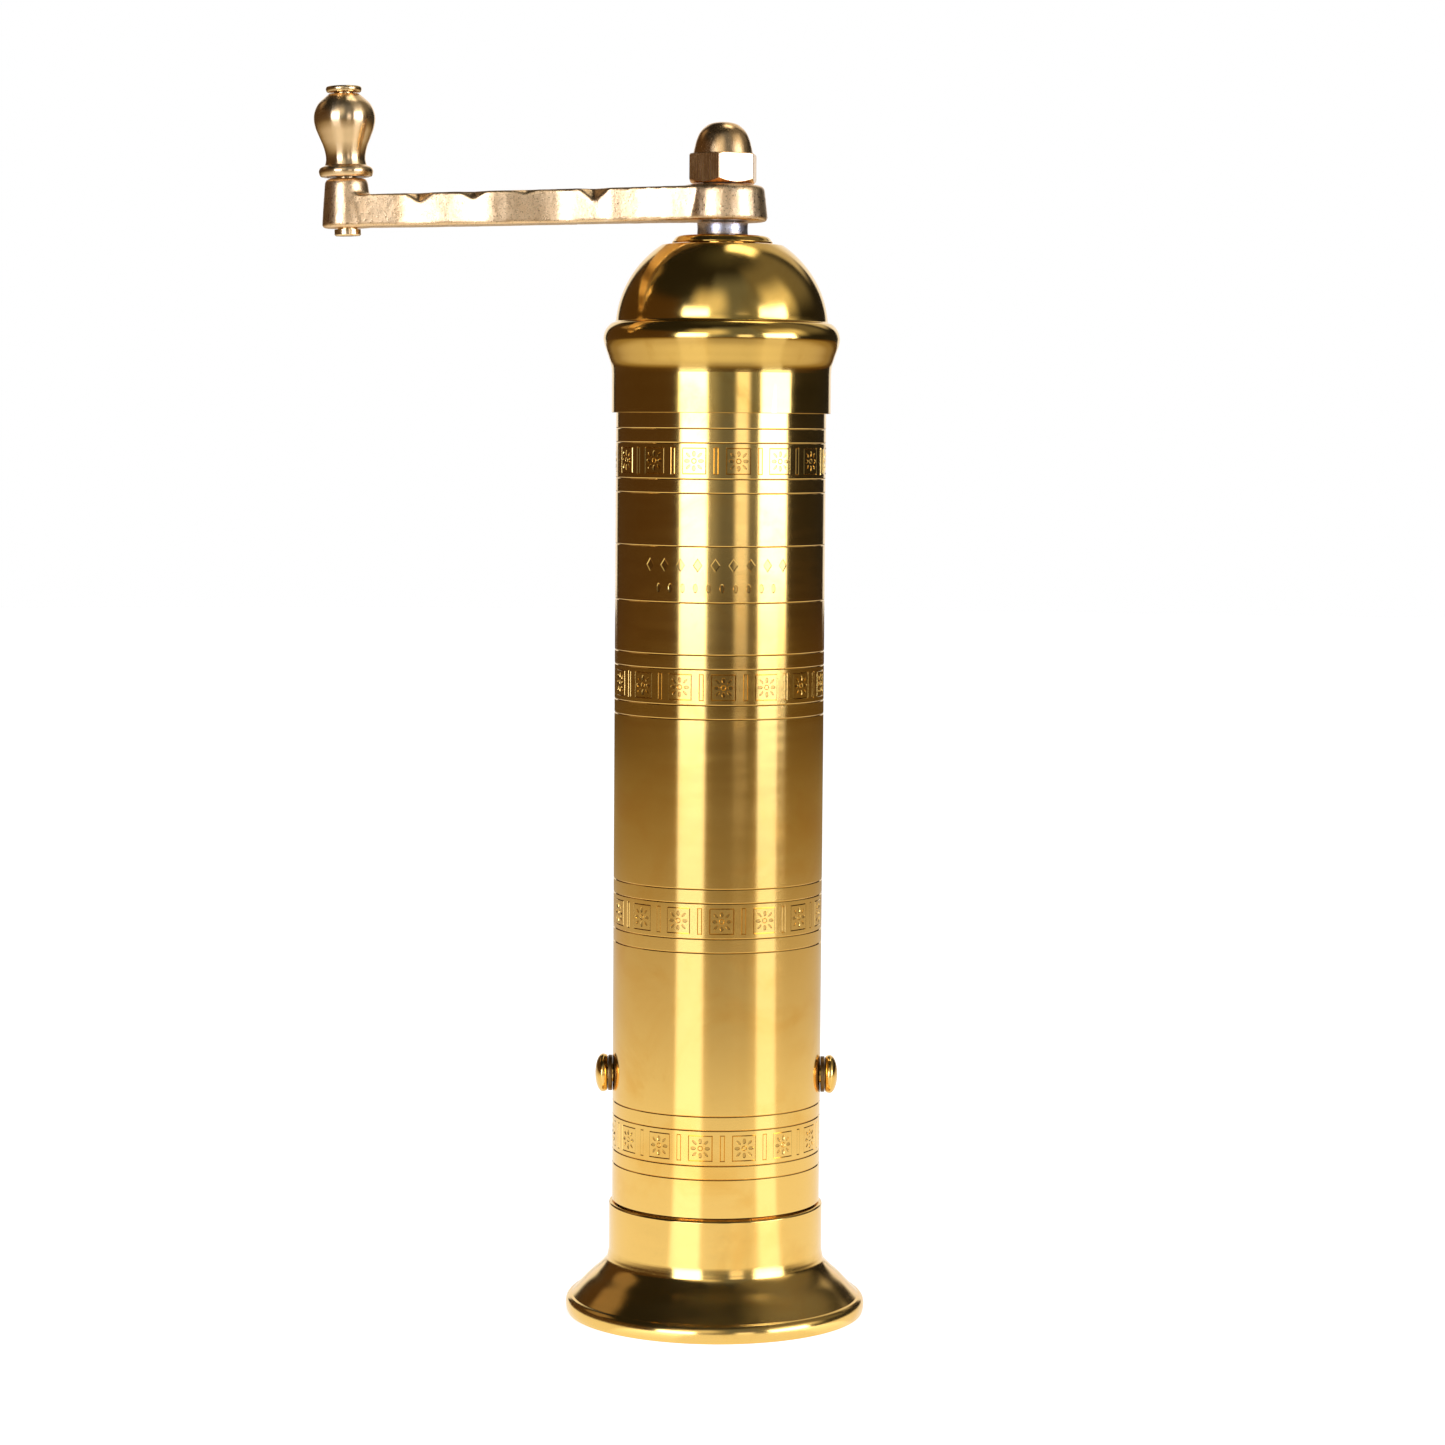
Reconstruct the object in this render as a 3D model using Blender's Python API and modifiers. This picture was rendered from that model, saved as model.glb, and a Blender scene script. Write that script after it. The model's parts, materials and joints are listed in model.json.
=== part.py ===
"""A brass pepper mill with a hand crank, built as its separate pieces.

Metres, +Z up. The mill stands on Z = 0 and its crank points to -X. The origin is on the table under the middle
of the whole object, crank included, so the grinding axis stands at MILL_X.
"""

import math

import bmesh
import bpy
from mathutils import Matrix, Vector

MM = 0.001
GAP = 0.3 * MM  # left between two pieces that touch, or that slide or turn in each other

# Tube
TUBE_R = 21.5 * MM
TUBE_WALL = 1.2 * MM
TUBE_L = 174.6 * MM

# Foot
FOOT_R = 31.0 * MM
FOOT_H = 23.1 * MM  # table to the ledge that carries the tube
FOOT_RING_W = 1.8 * MM  # flat ring that rests on the table
RIM_H = 2.9 * MM
COLLAR_H = 10.1 * MM
COLLAR_STEP = 0.6 * MM  # how far the collar stands out from the tube
SPIGOT_H = 6.9 * MM  # the part of the foot inside the tube
SPIGOT_WALL = 1.2 * MM
FLARE_WALL = 2.0 * MM

# Lid
SKIRT_WALL = 0.6 * MM
SKIRT_DEPTH = 12.3 * MM  # lid seat down to the hem
BEAD_H = 3.0 * MM  # lid seat up to the widest line of the bead
BEAD_OUT = 1.75 * MM  # bead beyond the skirt
DOME_BASE_H = 4.7 * MM  # lid seat up to the dome's widest plane
DOME_SEMI_H = 20.85 * MM  # half height of the dome's full ellipse
DOME_FLAT_H = 17.1 * MM  # widest plane up to the flat on top
LID_WALL = 1.2 * MM

# Bush in the lid, and the shaft it guides
SHAFT_R = 4.0 * MM
BUSH_WALL = 2.4 * MM
BUSH_L = 8.4 * MM
FLANGE_R = 10.3 * MM
FLANGE_T = 1.5 * MM
BUSH_NUT_R = 10.0 * MM
BUSH_NUT_T = 3.0 * MM
WASHER_R = 8.0 * MM
WASHER_T = 1.4 * MM
CLIP_R = 6.5 * MM
CLIP_T = 1.0 * MM
CLIP_DEPTH = 0.6 * MM  # how deep its groove is cut into the shaft
CLIP_MOUTH = 5.0 * MM
SLEEVE_WALL = 0.9 * MM
SLEEVE_H = 2.4 * MM

# Crank
CRANK_R = 76.5 * MM  # grinding axis to knob axis, along the arm
ARM_TILT = math.radians(1.6)  # the arm droops towards the knob
HUB_R = 9.2 * MM
HUB_DRAFT = 0.6 * MM
HUB_H = 7.3 * MM
ARM_T = 6.4 * MM
ARM_W = 9.0 * MM  # at the waist
ARM_ROOT_W = 15.0 * MM
ARM_END_W = 8.8 * MM
FLAT_W = 6.4 * MM  # across the two flats that key the shaft in the hub
BOSS_R = 5.2 * MM
BOSS_DRAFT = 0.8 * MM
BOSS_LOW = 3.4 * MM  # below the arm's middle line
BOSS_HIGH = 6.6 * MM  # above it
NOTCH_W = 6.0 * MM
NOTCHES = ((61.5 * MM, 2.2 * MM), (50.5 * MM, 1.7 * MM), (39.8 * MM, 1.0 * MM), (26.1 * MM, 2.5 * MM))
NUT_FLATS = 13.0 * MM
NUT_HEX_H = 6.0 * MM
NUT_DOME_R = 5.95 * MM
NUT_DOME_H = 6.5 * MM
NUT_THREAD_H = 7.5 * MM

# Knob
KNOB_R = 6.25 * MM
KNOB_H = 16.7 * MM
KNOB_WAIST_R = 4.08 * MM
KNOB_FLANGE_R = 5.55 * MM
KNOB_WASHER_R = 3.7 * MM
KNOB_WASHER_T = 0.4 * MM
PIN_R = 2.0 * MM
PIN_HEAD_R = 3.65 * MM
PIN_HEAD_T = 1.3 * MM
PIN_STUB_R = 2.7 * MM
PIN_STUB_H = 1.3 * MM

# Grinding gear
RING_Z = 42.0 * MM
RING_H = 16.0 * MM
RING_MOUTH_R = 15.6 * MM
CONE_Z = 43.2 * MM
CONE_H = 18.8 * MM
CONE_WAIST_H = 5.8 * MM  # height of the fine teeth
CONE_R = 13.6 * MM
CONE_WAIST_R = 11.4 * MM
CONE_TOP_R = 7.0 * MM
CONE_TEETH = 10
RING_TEETH = 18
TOOTH = 0.9 * MM
BURR_GAP = 0.7 * MM
SQUARE_W = 5.4 * MM
SQUARE_L = 13.0 * MM
SOCKET_DEPTH = 11.0 * MM
BALL_R = 1.7 * MM
BALL_BORE_L = 4.8 * MM
SETTING_TRAVEL = 1.0 * MM

# Adjuster
SCREW_R = 3.0 * MM
SCREW_HEAD_R = 4.5 * MM
SCREW_HEAD_T = 1.5 * MM
WHEEL_R = 8.5 * MM
WHEEL_T = 5.0 * MM
WHEEL_Z = 20.0 * MM
WHEEL_LOBES = 12
LOBE_H = 0.5 * MM
BRIDGE_W = 8.0 * MM
BRIDGE_T = 3.3 * MM
BRIDGE_SCREW_R = 1.0 * MM
BRIDGE_SCREW_INSET = 2.3 * MM  # from the ring's outside
BRIDGE_SCREW_GRIP = 4.0 * MM
BRIDGE_HEAD_R = 2.1 * MM
BRIDGE_HEAD_T = 1.5 * MM
SPRING_R = 4.6 * MM
WIRE_R = 0.45 * MM
SPRING_TURNS = 6

# Side screws that hold the ring
SIDE_SCREW_Z = 49.6 * MM
SIDE_SHANK_R = 1.9 * MM
SIDE_HEAD_R = 3.95 * MM
SIDE_HEAD_T = 2.6 * MM
SIDE_NECK = 0.3 * MM
SIDE_GRIP = 3.4 * MM  # shank inside the ring
FERRULE_R = 3.6 * MM
FERRULE_T = 0.4 * MM

# Facets round a full turn
SIDES_LARGE = 48
SIDES = 32
SIDES_SMALL = 20

# Heights and radii that follow
TUBE_BORE_R = TUBE_R - TUBE_WALL
TUBE_Z = FOOT_H + GAP
LID_SEAT_Z = TUBE_Z + TUBE_L + GAP
SKIRT_BORE_R = TUBE_R + GAP
SKIRT_R = SKIRT_BORE_R + SKIRT_WALL
HEM_Z = LID_SEAT_Z - SKIRT_DEPTH
BEAD_Z = LID_SEAT_Z + BEAD_H
BEAD_R = SKIRT_R + BEAD_OUT
DOME_Z = LID_SEAT_Z + DOME_BASE_H
DOME_R = SKIRT_R - 0.7 * MM
DOME_TOP_Z = DOME_Z + DOME_FLAT_H
BORE_R = SHAFT_R + GAP
BUSH_R = BORE_R + BUSH_WALL
SLEEVE_R = BORE_R + SLEEVE_WALL
FLANGE_Z = DOME_TOP_Z + GAP
BUSH_TOP_Z = FLANGE_Z + FLANGE_T
BUSH_Z = FLANGE_Z - BUSH_L
BUSH_NUT_Z = DOME_TOP_Z - LID_WALL - GAP - BUSH_NUT_T
WASHER_Z = BUSH_Z - GAP - WASHER_T
CLIP_Z = WASHER_Z - GAP - CLIP_T
SLEEVE_Z = BUSH_TOP_Z + GAP
HUB_Z = SLEEVE_Z + SLEEVE_H + GAP
ARM_Z = HUB_Z + HUB_H / 2
NUT_Z = HUB_Z + HUB_H + GAP
SHAFT_TOP_Z = NUT_Z + NUT_THREAD_H - GAP
KNOB_LOW = BOSS_HIGH + GAP
KNOB_RECESS_R = KNOB_WASHER_R + GAP  # the washer hides in the grip's foot
KNOB_RECESS_H = KNOB_WASHER_T + GAP
KNOB_BULB_H = 0.7 * KNOB_H
CONE_TOP_Z = CONE_Z + CONE_H
SOCKET_Z = CONE_TOP_Z - SOCKET_DEPTH
SQUARE_Z = SOCKET_Z + 2 * SETTING_TRAVEL
BALL_Z = CONE_Z + BALL_BORE_L - GAP - BALL_R
SCREW_TOP_Z = BALL_Z - BALL_R - GAP
RING_R = TUBE_BORE_R - GAP
BRIDGE_Z = RING_Z - GAP - BRIDGE_T
BRIDGE_HALF_L = math.sqrt(RING_R**2 - (BRIDGE_W / 2) ** 2) - 0.1 * MM
BRIDGE_SCREW_Y = RING_R - BRIDGE_SCREW_INSET
SIDE_HEAD_X = TUBE_R + GAP + FERRULE_T + SIDE_NECK

# The crank reaches further out than the foot, so the mill's axis stands off the middle.
KNOB_REACH = (CRANK_R + KNOB_R) * math.cos(ARM_TILT) + (BOSS_HIGH + 0.76 * KNOB_H) * math.sin(ARM_TILT)
MILL_X = (KNOB_REACH - FOOT_R) / 2


def clear_scene():
    for leftover in list(bpy.data.objects):
        bpy.data.objects.remove(leftover)


def new_collection(name):
    made = bpy.data.collections.new(name)
    bpy.context.scene.collection.children.link(made)
    return made


def new_material(name, colour, metallic, roughness):
    made = bpy.data.materials.new(name)
    made.use_nodes = True
    shader = made.node_tree.nodes["Principled BSDF"]
    shader.inputs["Base Color"].default_value = (*colour, 1.0)
    shader.inputs["Metallic"].default_value = metallic
    shader.inputs["Roughness"].default_value = roughness
    return made


clear_scene()
PARTS = new_collection("pepper_mill")
CUTTERS = new_collection("cutters")
BRASS = new_material("polished brass", (0.72, 0.50, 0.17), 1.0, 0.22)
LID_BRASS = new_material("lid brass", (0.66, 0.45, 0.13), 1.0, 0.16)
BRONZE = new_material("cast bronze", (0.78, 0.54, 0.34), 1.0, 0.42)
STEEL = new_material("turned steel", (0.55, 0.54, 0.53), 1.0, 0.35)
BURR_STEEL = new_material("hardened steel", (0.30, 0.30, 0.31), 1.0, 0.45)


def new_frame(name, location, rotation=(0.0, 0.0, 0.0), parent=None):
    """An empty that carries pieces, on the axis they turn about."""
    frame = bpy.data.objects.new(name, None)
    frame.empty_display_size = 0.01
    frame.location = location
    frame.rotation_euler = rotation
    frame.parent = parent
    PARTS.objects.link(frame)
    return frame


def add_piece(name, data, look, parent, location=(0.0, 0.0, 0.0), rotation=(0.0, 0.0, 0.0)):
    """A part when it has a look, and a cutter when look is None."""
    piece = bpy.data.objects.new(name, data)
    piece.parent = parent
    piece.location = location
    piece.rotation_euler = rotation
    if look is None:
        piece.hide_render = True
        piece.display_type = "WIRE"
        CUTTERS.objects.link(piece)
    else:
        data.materials.append(look)
        PARTS.objects.link(piece)
    return piece


def arc(centre, radii, start, end, count):
    """Points along an ellipse's arc, angles in degrees from the radius direction upwards."""
    angles = [math.radians(start + (end - start) * i / count) for i in range(count + 1)]
    return [(centre[0] + radii[0] * math.cos(a), centre[1] + radii[1] * math.sin(a)) for a in angles]


def smooth(points, steps):
    """Points of a smooth curve that passes through the given ones."""
    ends = [points[0], *points, points[-1]]
    curve = []
    for a, b, c, d in zip(ends, ends[1:], ends[2:], ends[3:]):
        a, b, c, d = (Vector(point) for point in (a, b, c, d))
        for t in (step / steps for step in range(steps)):
            bend = (2 * a - 5 * b + 4 * c - d) * t**2 + (3 * b - a - 3 * c + d) * t**3
            curve.append(tuple(b + 0.5 * ((c - a) * t + bend)))
    curve.append(points[-1])
    return curve


def turned(name, outline, look, parent, sides=SIDES, bored=False, **place):
    """A solid of revolution about its own Z. The outline is (radius, height) points down the outer side, from
    axis to axis, or on a bored piece down the outside and back up the bore."""
    edges = [(i, i + 1) for i in range(len(outline) - 1)]
    if bored:
        edges.append((len(outline) - 1, 0))
    mesh = bpy.data.meshes.new(name)
    mesh.from_pydata([(radius, 0.0, height) for radius, height in outline], edges, [])
    piece = add_piece(name, mesh, look, parent, **place)
    screw = piece.modifiers.new("Turn", "SCREW")
    screw.steps = sides
    screw.render_steps = sides
    screw.use_merge_vertices = True
    screw.merge_threshold = 0.00001
    return piece


def cylinder(name, radius, low, high, look, parent, sides=SIDES_SMALL, **place):
    """A round bar or hole cutter along its own Z."""
    mesh = bpy.data.meshes.new(name)
    shape = bmesh.new()
    lift = Matrix.Translation((0.0, 0.0, (low + high) / 2))
    bmesh.ops.create_cone(
        shape, cap_ends=True, segments=sides, radius1=radius, radius2=radius, depth=high - low, matrix=lift
    )
    shape.to_mesh(mesh)
    shape.free()
    return add_piece(name, mesh, look, parent, **place)


def block(name, low, high, look, parent, **place):
    """A box between two corners."""
    low = Vector(low)
    high = Vector(high)
    size = high - low
    mesh = bpy.data.meshes.new(name)
    shape = bmesh.new()
    matrix = Matrix.Translation((low + high) / 2) @ Matrix.Diagonal((*size, 1.0))
    bmesh.ops.create_cube(shape, size=1.0, matrix=matrix)
    shape.to_mesh(mesh)
    shape.free()
    return add_piece(name, mesh, look, parent, **place)


def slab(name, outline, thickness, look, parent, **place):
    """A flat outline in XY, extruded evenly to both sides of its plane."""
    mesh = bpy.data.meshes.new(name)
    shape = bmesh.new()
    face = shape.faces.new([shape.verts.new((x, y, -thickness / 2)) for x, y in outline])
    raised = bmesh.ops.extrude_face_region(shape, geom=[face])["geom"]
    moved = [item for item in raised if isinstance(item, bmesh.types.BMVert)]
    bmesh.ops.translate(shape, verts=moved, vec=(0.0, 0.0, thickness))
    bmesh.ops.recalc_face_normals(shape, faces=shape.faces)
    shape.to_mesh(mesh)
    shape.free()
    return add_piece(name, mesh, look, parent, **place)


def fluted(name, layers, teeth, look, parent):
    """A loft through toothed sections. Each layer is (height, crest radius, valley radius, turn in degrees)."""
    shape = bmesh.new()
    rings = []
    for height, crest, valley, turn in layers:
        ring = []
        for i in range(2 * teeth):
            radius = valley if i % 2 else crest
            angle = math.radians(turn) + math.pi * i / teeth
            ring.append(shape.verts.new((radius * math.cos(angle), radius * math.sin(angle), height)))
        rings.append(ring)
    shape.faces.new(reversed(rings[0]))
    shape.faces.new(rings[-1])
    for lower, upper in zip(rings, rings[1:]):
        for i in range(2 * teeth):
            nxt = (i + 1) % (2 * teeth)
            shape.faces.new((lower[i], lower[nxt], upper[nxt], upper[i]))
    mesh = bpy.data.meshes.new(name)
    shape.to_mesh(mesh)
    shape.free()
    return add_piece(name, mesh, look, parent)


def combine(piece, other, operation):
    boolean = piece.modifiers.new(other.name, "BOOLEAN")
    boolean.operation = operation
    boolean.solver = "EXACT"
    boolean.object = other


def settle(piece):
    """Turns a piece's modifiers, or its curve, into its mesh and shades it, with edges sharper than 35 degrees."""
    graph = bpy.context.evaluated_depsgraph_get()
    mesh = bpy.data.meshes.new_from_object(piece.evaluated_get(graph))
    if piece.type == "MESH":
        piece.modifiers.clear()
        piece.data = mesh
        mesh.shade_smooth()
        mesh.set_sharp_from_angle(angle=math.radians(35))


MILL_AXIS = new_frame("mill_axis", (MILL_X, 0.0, 0.0))
ARM_LINE = new_frame("arm_line", (0.0, 0.0, ARM_Z), (0.0, -ARM_TILT, 0.0), MILL_AXIS)
KNOB_AXIS = new_frame("knob_axis", (-CRANK_R, 0.0, 0.0), parent=ARM_LINE)


def make_foot():
    """Flared foot: a rim, a hollow flare, a straight collar with a ledge, and a spigot up into the tube."""
    collar_r = TUBE_R + COLLAR_STEP
    collar_z = FOOT_H - COLLAR_H
    spigot_r = TUBE_BORE_R - GAP
    bore_r = spigot_r - SPIGOT_WALL
    ring_out = FOOT_R - 0.6 * MM
    ring_in = ring_out - FOOT_RING_W
    middle = (FOOT_R + collar_r) / 2
    flare = smooth(
        [
            (collar_r, collar_z),
            (collar_r + 0.5 * MM, collar_z - 0.9 * MM),
            (middle - 0.6 * MM, (collar_z + RIM_H) / 2),
            (FOOT_R - 0.2 * MM, RIM_H),
        ],
        2,
    )
    rim = arc((FOOT_R - 0.9 * MM, 1.2 * MM), (0.9 * MM, 1.2 * MM), 60, -60, 4)
    under = [
        (ring_out, 0.0),
        (ring_in, 0.0),
        (ring_in, RIM_H / 2),
        (middle - FLARE_WALL, (collar_z + RIM_H) / 2 - 0.4 * MM),
        (bore_r, collar_z),
    ]
    top = FOOT_H + SPIGOT_H
    outline = [(spigot_r, top), (spigot_r, FOOT_H), (collar_r, FOOT_H), *flare, *rim, *under, (bore_r, top)]
    turned("foot", outline, BRASS, MILL_AXIS, SIDES_LARGE, bored=True)


def make_body_tube():
    top = TUBE_Z + TUBE_L
    outline = [(TUBE_R, top), (TUBE_R, TUBE_Z), (TUBE_BORE_R, TUBE_Z), (TUBE_BORE_R, top)]
    tube = turned("body_tube", outline, BRASS, MILL_AXIS, SIDES_LARGE, bored=True)
    holes = cylinder(
        "tube_screw_holes",
        SIDE_SHANK_R + GAP,
        -TUBE_R - GAP,
        TUBE_R + GAP,
        None,
        MILL_AXIS,
        location=(0.0, 0.0, SIDE_SCREW_Z),
        rotation=(0.0, math.pi / 2, 0.0),
    )
    combine(tube, holes, "DIFFERENCE")
    settle(tube)


def cone_radius(z):
    """Crest radius of the burr cone, in its fine lower part and the line it follows further down."""
    slope = (CONE_R - CONE_WAIST_R) / CONE_WAIST_H
    return CONE_R - slope * (z - CONE_Z)


def make_burr_ring():
    """Fixed outer burr: a steel ring with a toothed bore that is narrowest over the cone's fine teeth."""
    top = RING_Z + RING_H
    ring = cylinder("burr_ring", RING_R, RING_Z, top, BURR_STEEL, MILL_AXIS, SIDES_LARGE)
    waist_z = CONE_Z + CONE_WAIST_H
    slope = (RING_MOUTH_R - CONE_WAIST_R - BURR_GAP) / (top - waist_z)
    layers = []
    for z, radius, turn in (
        (RING_Z - GAP, cone_radius(RING_Z - GAP) + BURR_GAP, 0.0),
        (waist_z, CONE_WAIST_R + BURR_GAP, 10.0),
        (top + GAP, RING_MOUTH_R + slope * GAP, 34.0),
    ):
        layers.append((z, radius + TOOTH, radius, turn))
    combine(ring, fluted("ring_teeth", layers, RING_TEETH, None, MILL_AXIS), "DIFFERENCE")
    for side in (1, -1):
        socket = cylinder(
            f"ring_side_socket_{side}",
            SIDE_SHANK_R + GAP,
            RING_R - SIDE_GRIP - 2 * GAP,
            TUBE_R,
            None,
            MILL_AXIS,
            location=(0.0, 0.0, SIDE_SCREW_Z),
            rotation=(0.0, side * math.pi / 2, 0.0),
        )
        combine(ring, socket, "DIFFERENCE")
        hole = cylinder(
            f"ring_bridge_hole_{side}",
            BRIDGE_SCREW_R + GAP,
            RING_Z - GAP,
            RING_Z + BRIDGE_SCREW_GRIP + GAP,
            None,
            MILL_AXIS,
            location=(0.0, side * BRIDGE_SCREW_Y, 0.0),
        )
        combine(ring, hole, "DIFFERENCE")
    settle(ring)


def make_burr_cone():
    """Turning inner burr, with a square socket for the shaft above and a seat for the thrust ball below."""
    waist_z = CONE_Z + CONE_WAIST_H
    layers = []
    for z, radius, tooth, turn in (
        (CONE_Z, CONE_R, 0.6, 0.0),
        (waist_z, CONE_WAIST_R, 0.8, 14.0),
        ((waist_z + CONE_TOP_Z) / 2, (CONE_WAIST_R + CONE_TOP_R) / 2, 1.2, 34.0),
        (CONE_TOP_Z, CONE_TOP_R, 1.2, 60.0),
    ):
        layers.append((z, radius, radius - tooth * TOOTH, turn))
    cone = fluted("burr_cone", layers, CONE_TEETH, BURR_STEEL, MILL_AXIS)
    half = SQUARE_W / 2 + GAP
    socket = block("cone_socket", (-half, -half, SOCKET_Z), (half, half, CONE_TOP_Z + GAP), None, MILL_AXIS)
    combine(cone, socket, "DIFFERENCE")
    seat = cylinder("cone_ball_seat", SCREW_R + GAP, CONE_Z - GAP, CONE_Z + BALL_BORE_L, None, MILL_AXIS)
    combine(cone, seat, "DIFFERENCE")
    settle(cone)


def make_thrust_ball():
    mesh = bpy.data.meshes.new("thrust_ball")
    shape = bmesh.new()
    bmesh.ops.create_uvsphere(shape, u_segments=16, v_segments=10, radius=BALL_R)
    shape.to_mesh(mesh)
    shape.free()
    settle(add_piece("thrust_ball", mesh, STEEL, MILL_AXIS, (0.0, 0.0, BALL_Z)))


def make_side_screws():
    """Domed screws through the tube into the ring, one each side, each with a thin ferrule under its head."""
    edge_x = SIDE_HEAD_X + 0.4 * SIDE_HEAD_T
    head = arc((0.0, edge_x), (SIDE_HEAD_R, 0.6 * SIDE_HEAD_T), 90, 0, 5)
    tip_x = RING_R - SIDE_GRIP
    outline = [
        *head,
        (SIDE_HEAD_R - 0.5 * MM, SIDE_HEAD_X),
        (SIDE_SHANK_R, SIDE_HEAD_X),
        (SIDE_SHANK_R, tip_x),
        (0.0, tip_x),
    ]
    low = TUBE_R + GAP
    high = low + FERRULE_T
    bore = SIDE_SHANK_R + GAP
    flat_ring = [(FERRULE_R, high), (FERRULE_R, low), (bore, low), (bore, high)]
    for name, side in (("left", -1), ("right", 1)):
        place = {"location": (0.0, 0.0, SIDE_SCREW_Z), "rotation": (0.0, side * math.pi / 2, 0.0)}
        turned(f"side_screw_{name}", outline, BRASS, MILL_AXIS, SIDES_SMALL, **place)
        turned(f"side_ferrule_{name}", flat_ring, BRASS, MILL_AXIS, SIDES_SMALL, bored=True, **place)


def make_adjuster_bridge():
    """Flat bar across the tube under the ring. The adjusting screw works in its middle hole."""
    low = (-BRIDGE_W / 2, -BRIDGE_HALF_L, BRIDGE_Z)
    high = (BRIDGE_W / 2, BRIDGE_HALF_L, BRIDGE_Z + BRIDGE_T)
    bar = block("adjuster_bridge", low, high, STEEL, MILL_AXIS)
    for name, y, radius in (
        ("middle", 0.0, SCREW_R),
        ("front", -BRIDGE_SCREW_Y, BRIDGE_SCREW_R),
        ("back", BRIDGE_SCREW_Y, BRIDGE_SCREW_R),
    ):
        cutter = cylinder(
            f"bridge_hole_{name}",
            radius + GAP,
            BRIDGE_Z - GAP,
            BRIDGE_Z + BRIDGE_T + GAP,
            None,
            MILL_AXIS,
            location=(0.0, y, 0.0),
        )
        combine(bar, cutter, "DIFFERENCE")
    settle(bar)


def make_bridge_screws():
    top = RING_Z + BRIDGE_SCREW_GRIP
    seat = BRIDGE_Z - GAP
    outline = [
        (0.0, top),
        (BRIDGE_SCREW_R, top),
        (BRIDGE_SCREW_R, seat),
        (BRIDGE_HEAD_R, seat),
        (BRIDGE_HEAD_R, seat - 0.5 * BRIDGE_HEAD_T),
        (0.6 * BRIDGE_HEAD_R, seat - BRIDGE_HEAD_T),
        (0.0, seat - BRIDGE_HEAD_T),
    ]
    for name, side in (("front", -1), ("back", 1)):
        place = (0.0, side * BRIDGE_SCREW_Y, 0.0)
        turned(f"bridge_screw_{name}", outline, STEEL, MILL_AXIS, SIDES_SMALL, location=place)


def make_adjusting_screw():
    """Carries the burr cone on the ball: turning it lifts or lowers the cone and so sets the grind."""
    seat = WHEEL_Z - GAP
    outline = [
        (0.0, SCREW_TOP_Z),
        (SCREW_R - 0.5 * MM, SCREW_TOP_Z),
        (SCREW_R, SCREW_TOP_Z - 0.5 * MM),
        (SCREW_R, seat),
        (SCREW_HEAD_R, seat),
        (SCREW_HEAD_R, seat - SCREW_HEAD_T),
        (0.0, seat - SCREW_HEAD_T),
    ]
    turned("adjusting_screw", outline, STEEL, MILL_AXIS, SIDES_SMALL)


def make_thumb_wheel():
    """Lobed wheel that a finger turns from under the foot."""
    outline = []
    for i in range(6 * WHEEL_LOBES):
        angle = 2 * math.pi * i / (6 * WHEEL_LOBES)
        radius = WHEEL_R + LOBE_H * math.cos(WHEEL_LOBES * angle)
        outline.append((radius * math.cos(angle), radius * math.sin(angle)))
    wheel = slab("thumb_wheel", outline, WHEEL_T, BRASS, MILL_AXIS, location=(0.0, 0.0, WHEEL_Z + WHEEL_T / 2))
    bore = cylinder("wheel_bore", SCREW_R + GAP, WHEEL_Z - GAP, WHEEL_Z + WHEEL_T + GAP, None, MILL_AXIS)
    combine(wheel, bore, "DIFFERENCE")
    settle(wheel)


def make_adjuster_spring():
    """Coil between the thumb wheel and the bridge, which keeps the setting from creeping."""
    low = WHEEL_Z + WHEEL_T + GAP + WIRE_R
    high = BRIDGE_Z - GAP - WIRE_R
    steps = 10 * SPRING_TURNS
    curve = bpy.data.curves.new("adjuster_spring", "CURVE")
    curve.dimensions = "3D"
    curve.bevel_depth = WIRE_R
    curve.bevel_resolution = 2
    curve.use_fill_caps = True
    wire = curve.splines.new("POLY")
    wire.points.add(steps)
    for i, point in enumerate(wire.points):
        angle = 2 * math.pi * SPRING_TURNS * i / steps
        z = low + (high - low) * i / steps
        point.co = (SPRING_R * math.cos(angle), SPRING_R * math.sin(angle), z, 1.0)
    add_piece("adjuster_spring", curve, STEEL, MILL_AXIS)


def dome_line(shrink, start, count):
    """The dome's ellipse from its base up to its top flat, taken in by a wall, top first."""
    radius = DOME_R - shrink
    semi = DOME_SEMI_H - shrink
    end = math.degrees(math.asin((DOME_FLAT_H - shrink) / semi))
    return arc((0.0, DOME_Z), (radius, semi), end, start, count)


def make_lid_shell():
    """Spun lid: a dome with a hole on top, a bead, and a skirt that slides over the tube."""
    hole_r = BUSH_R + GAP
    bead = smooth(
        [
            (DOME_R - 0.1 * MM, DOME_Z + 2.2 * MM),
            (DOME_R + 0.6 * MM, BEAD_Z + 3.3 * MM),
            (BEAD_R - 0.4 * MM, BEAD_Z + 1.9 * MM),
            (BEAD_R, BEAD_Z),
            (BEAD_R - 0.3 * MM, BEAD_Z - 2.4 * MM),
            (SKIRT_R + 0.7 * MM, BEAD_Z - 4.5 * MM),
            (SKIRT_R, BEAD_Z - 8.5 * MM),
        ],
        2,
    )
    ledge_r = TUBE_R - TUBE_WALL / 2
    outline = [
        (hole_r, DOME_TOP_Z),
        *dome_line(0.0, 12, 6),
        *bead,
        (SKIRT_R, HEM_Z),
        (SKIRT_BORE_R, HEM_Z),
        (SKIRT_BORE_R, LID_SEAT_Z),
        (ledge_r, LID_SEAT_Z),
        *reversed(dome_line(LID_WALL, 2, 5)),
        (hole_r, DOME_TOP_Z - LID_WALL),
    ]
    turned("lid_shell", outline, LID_BRASS, MILL_AXIS, SIDES_LARGE, bored=True)


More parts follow.
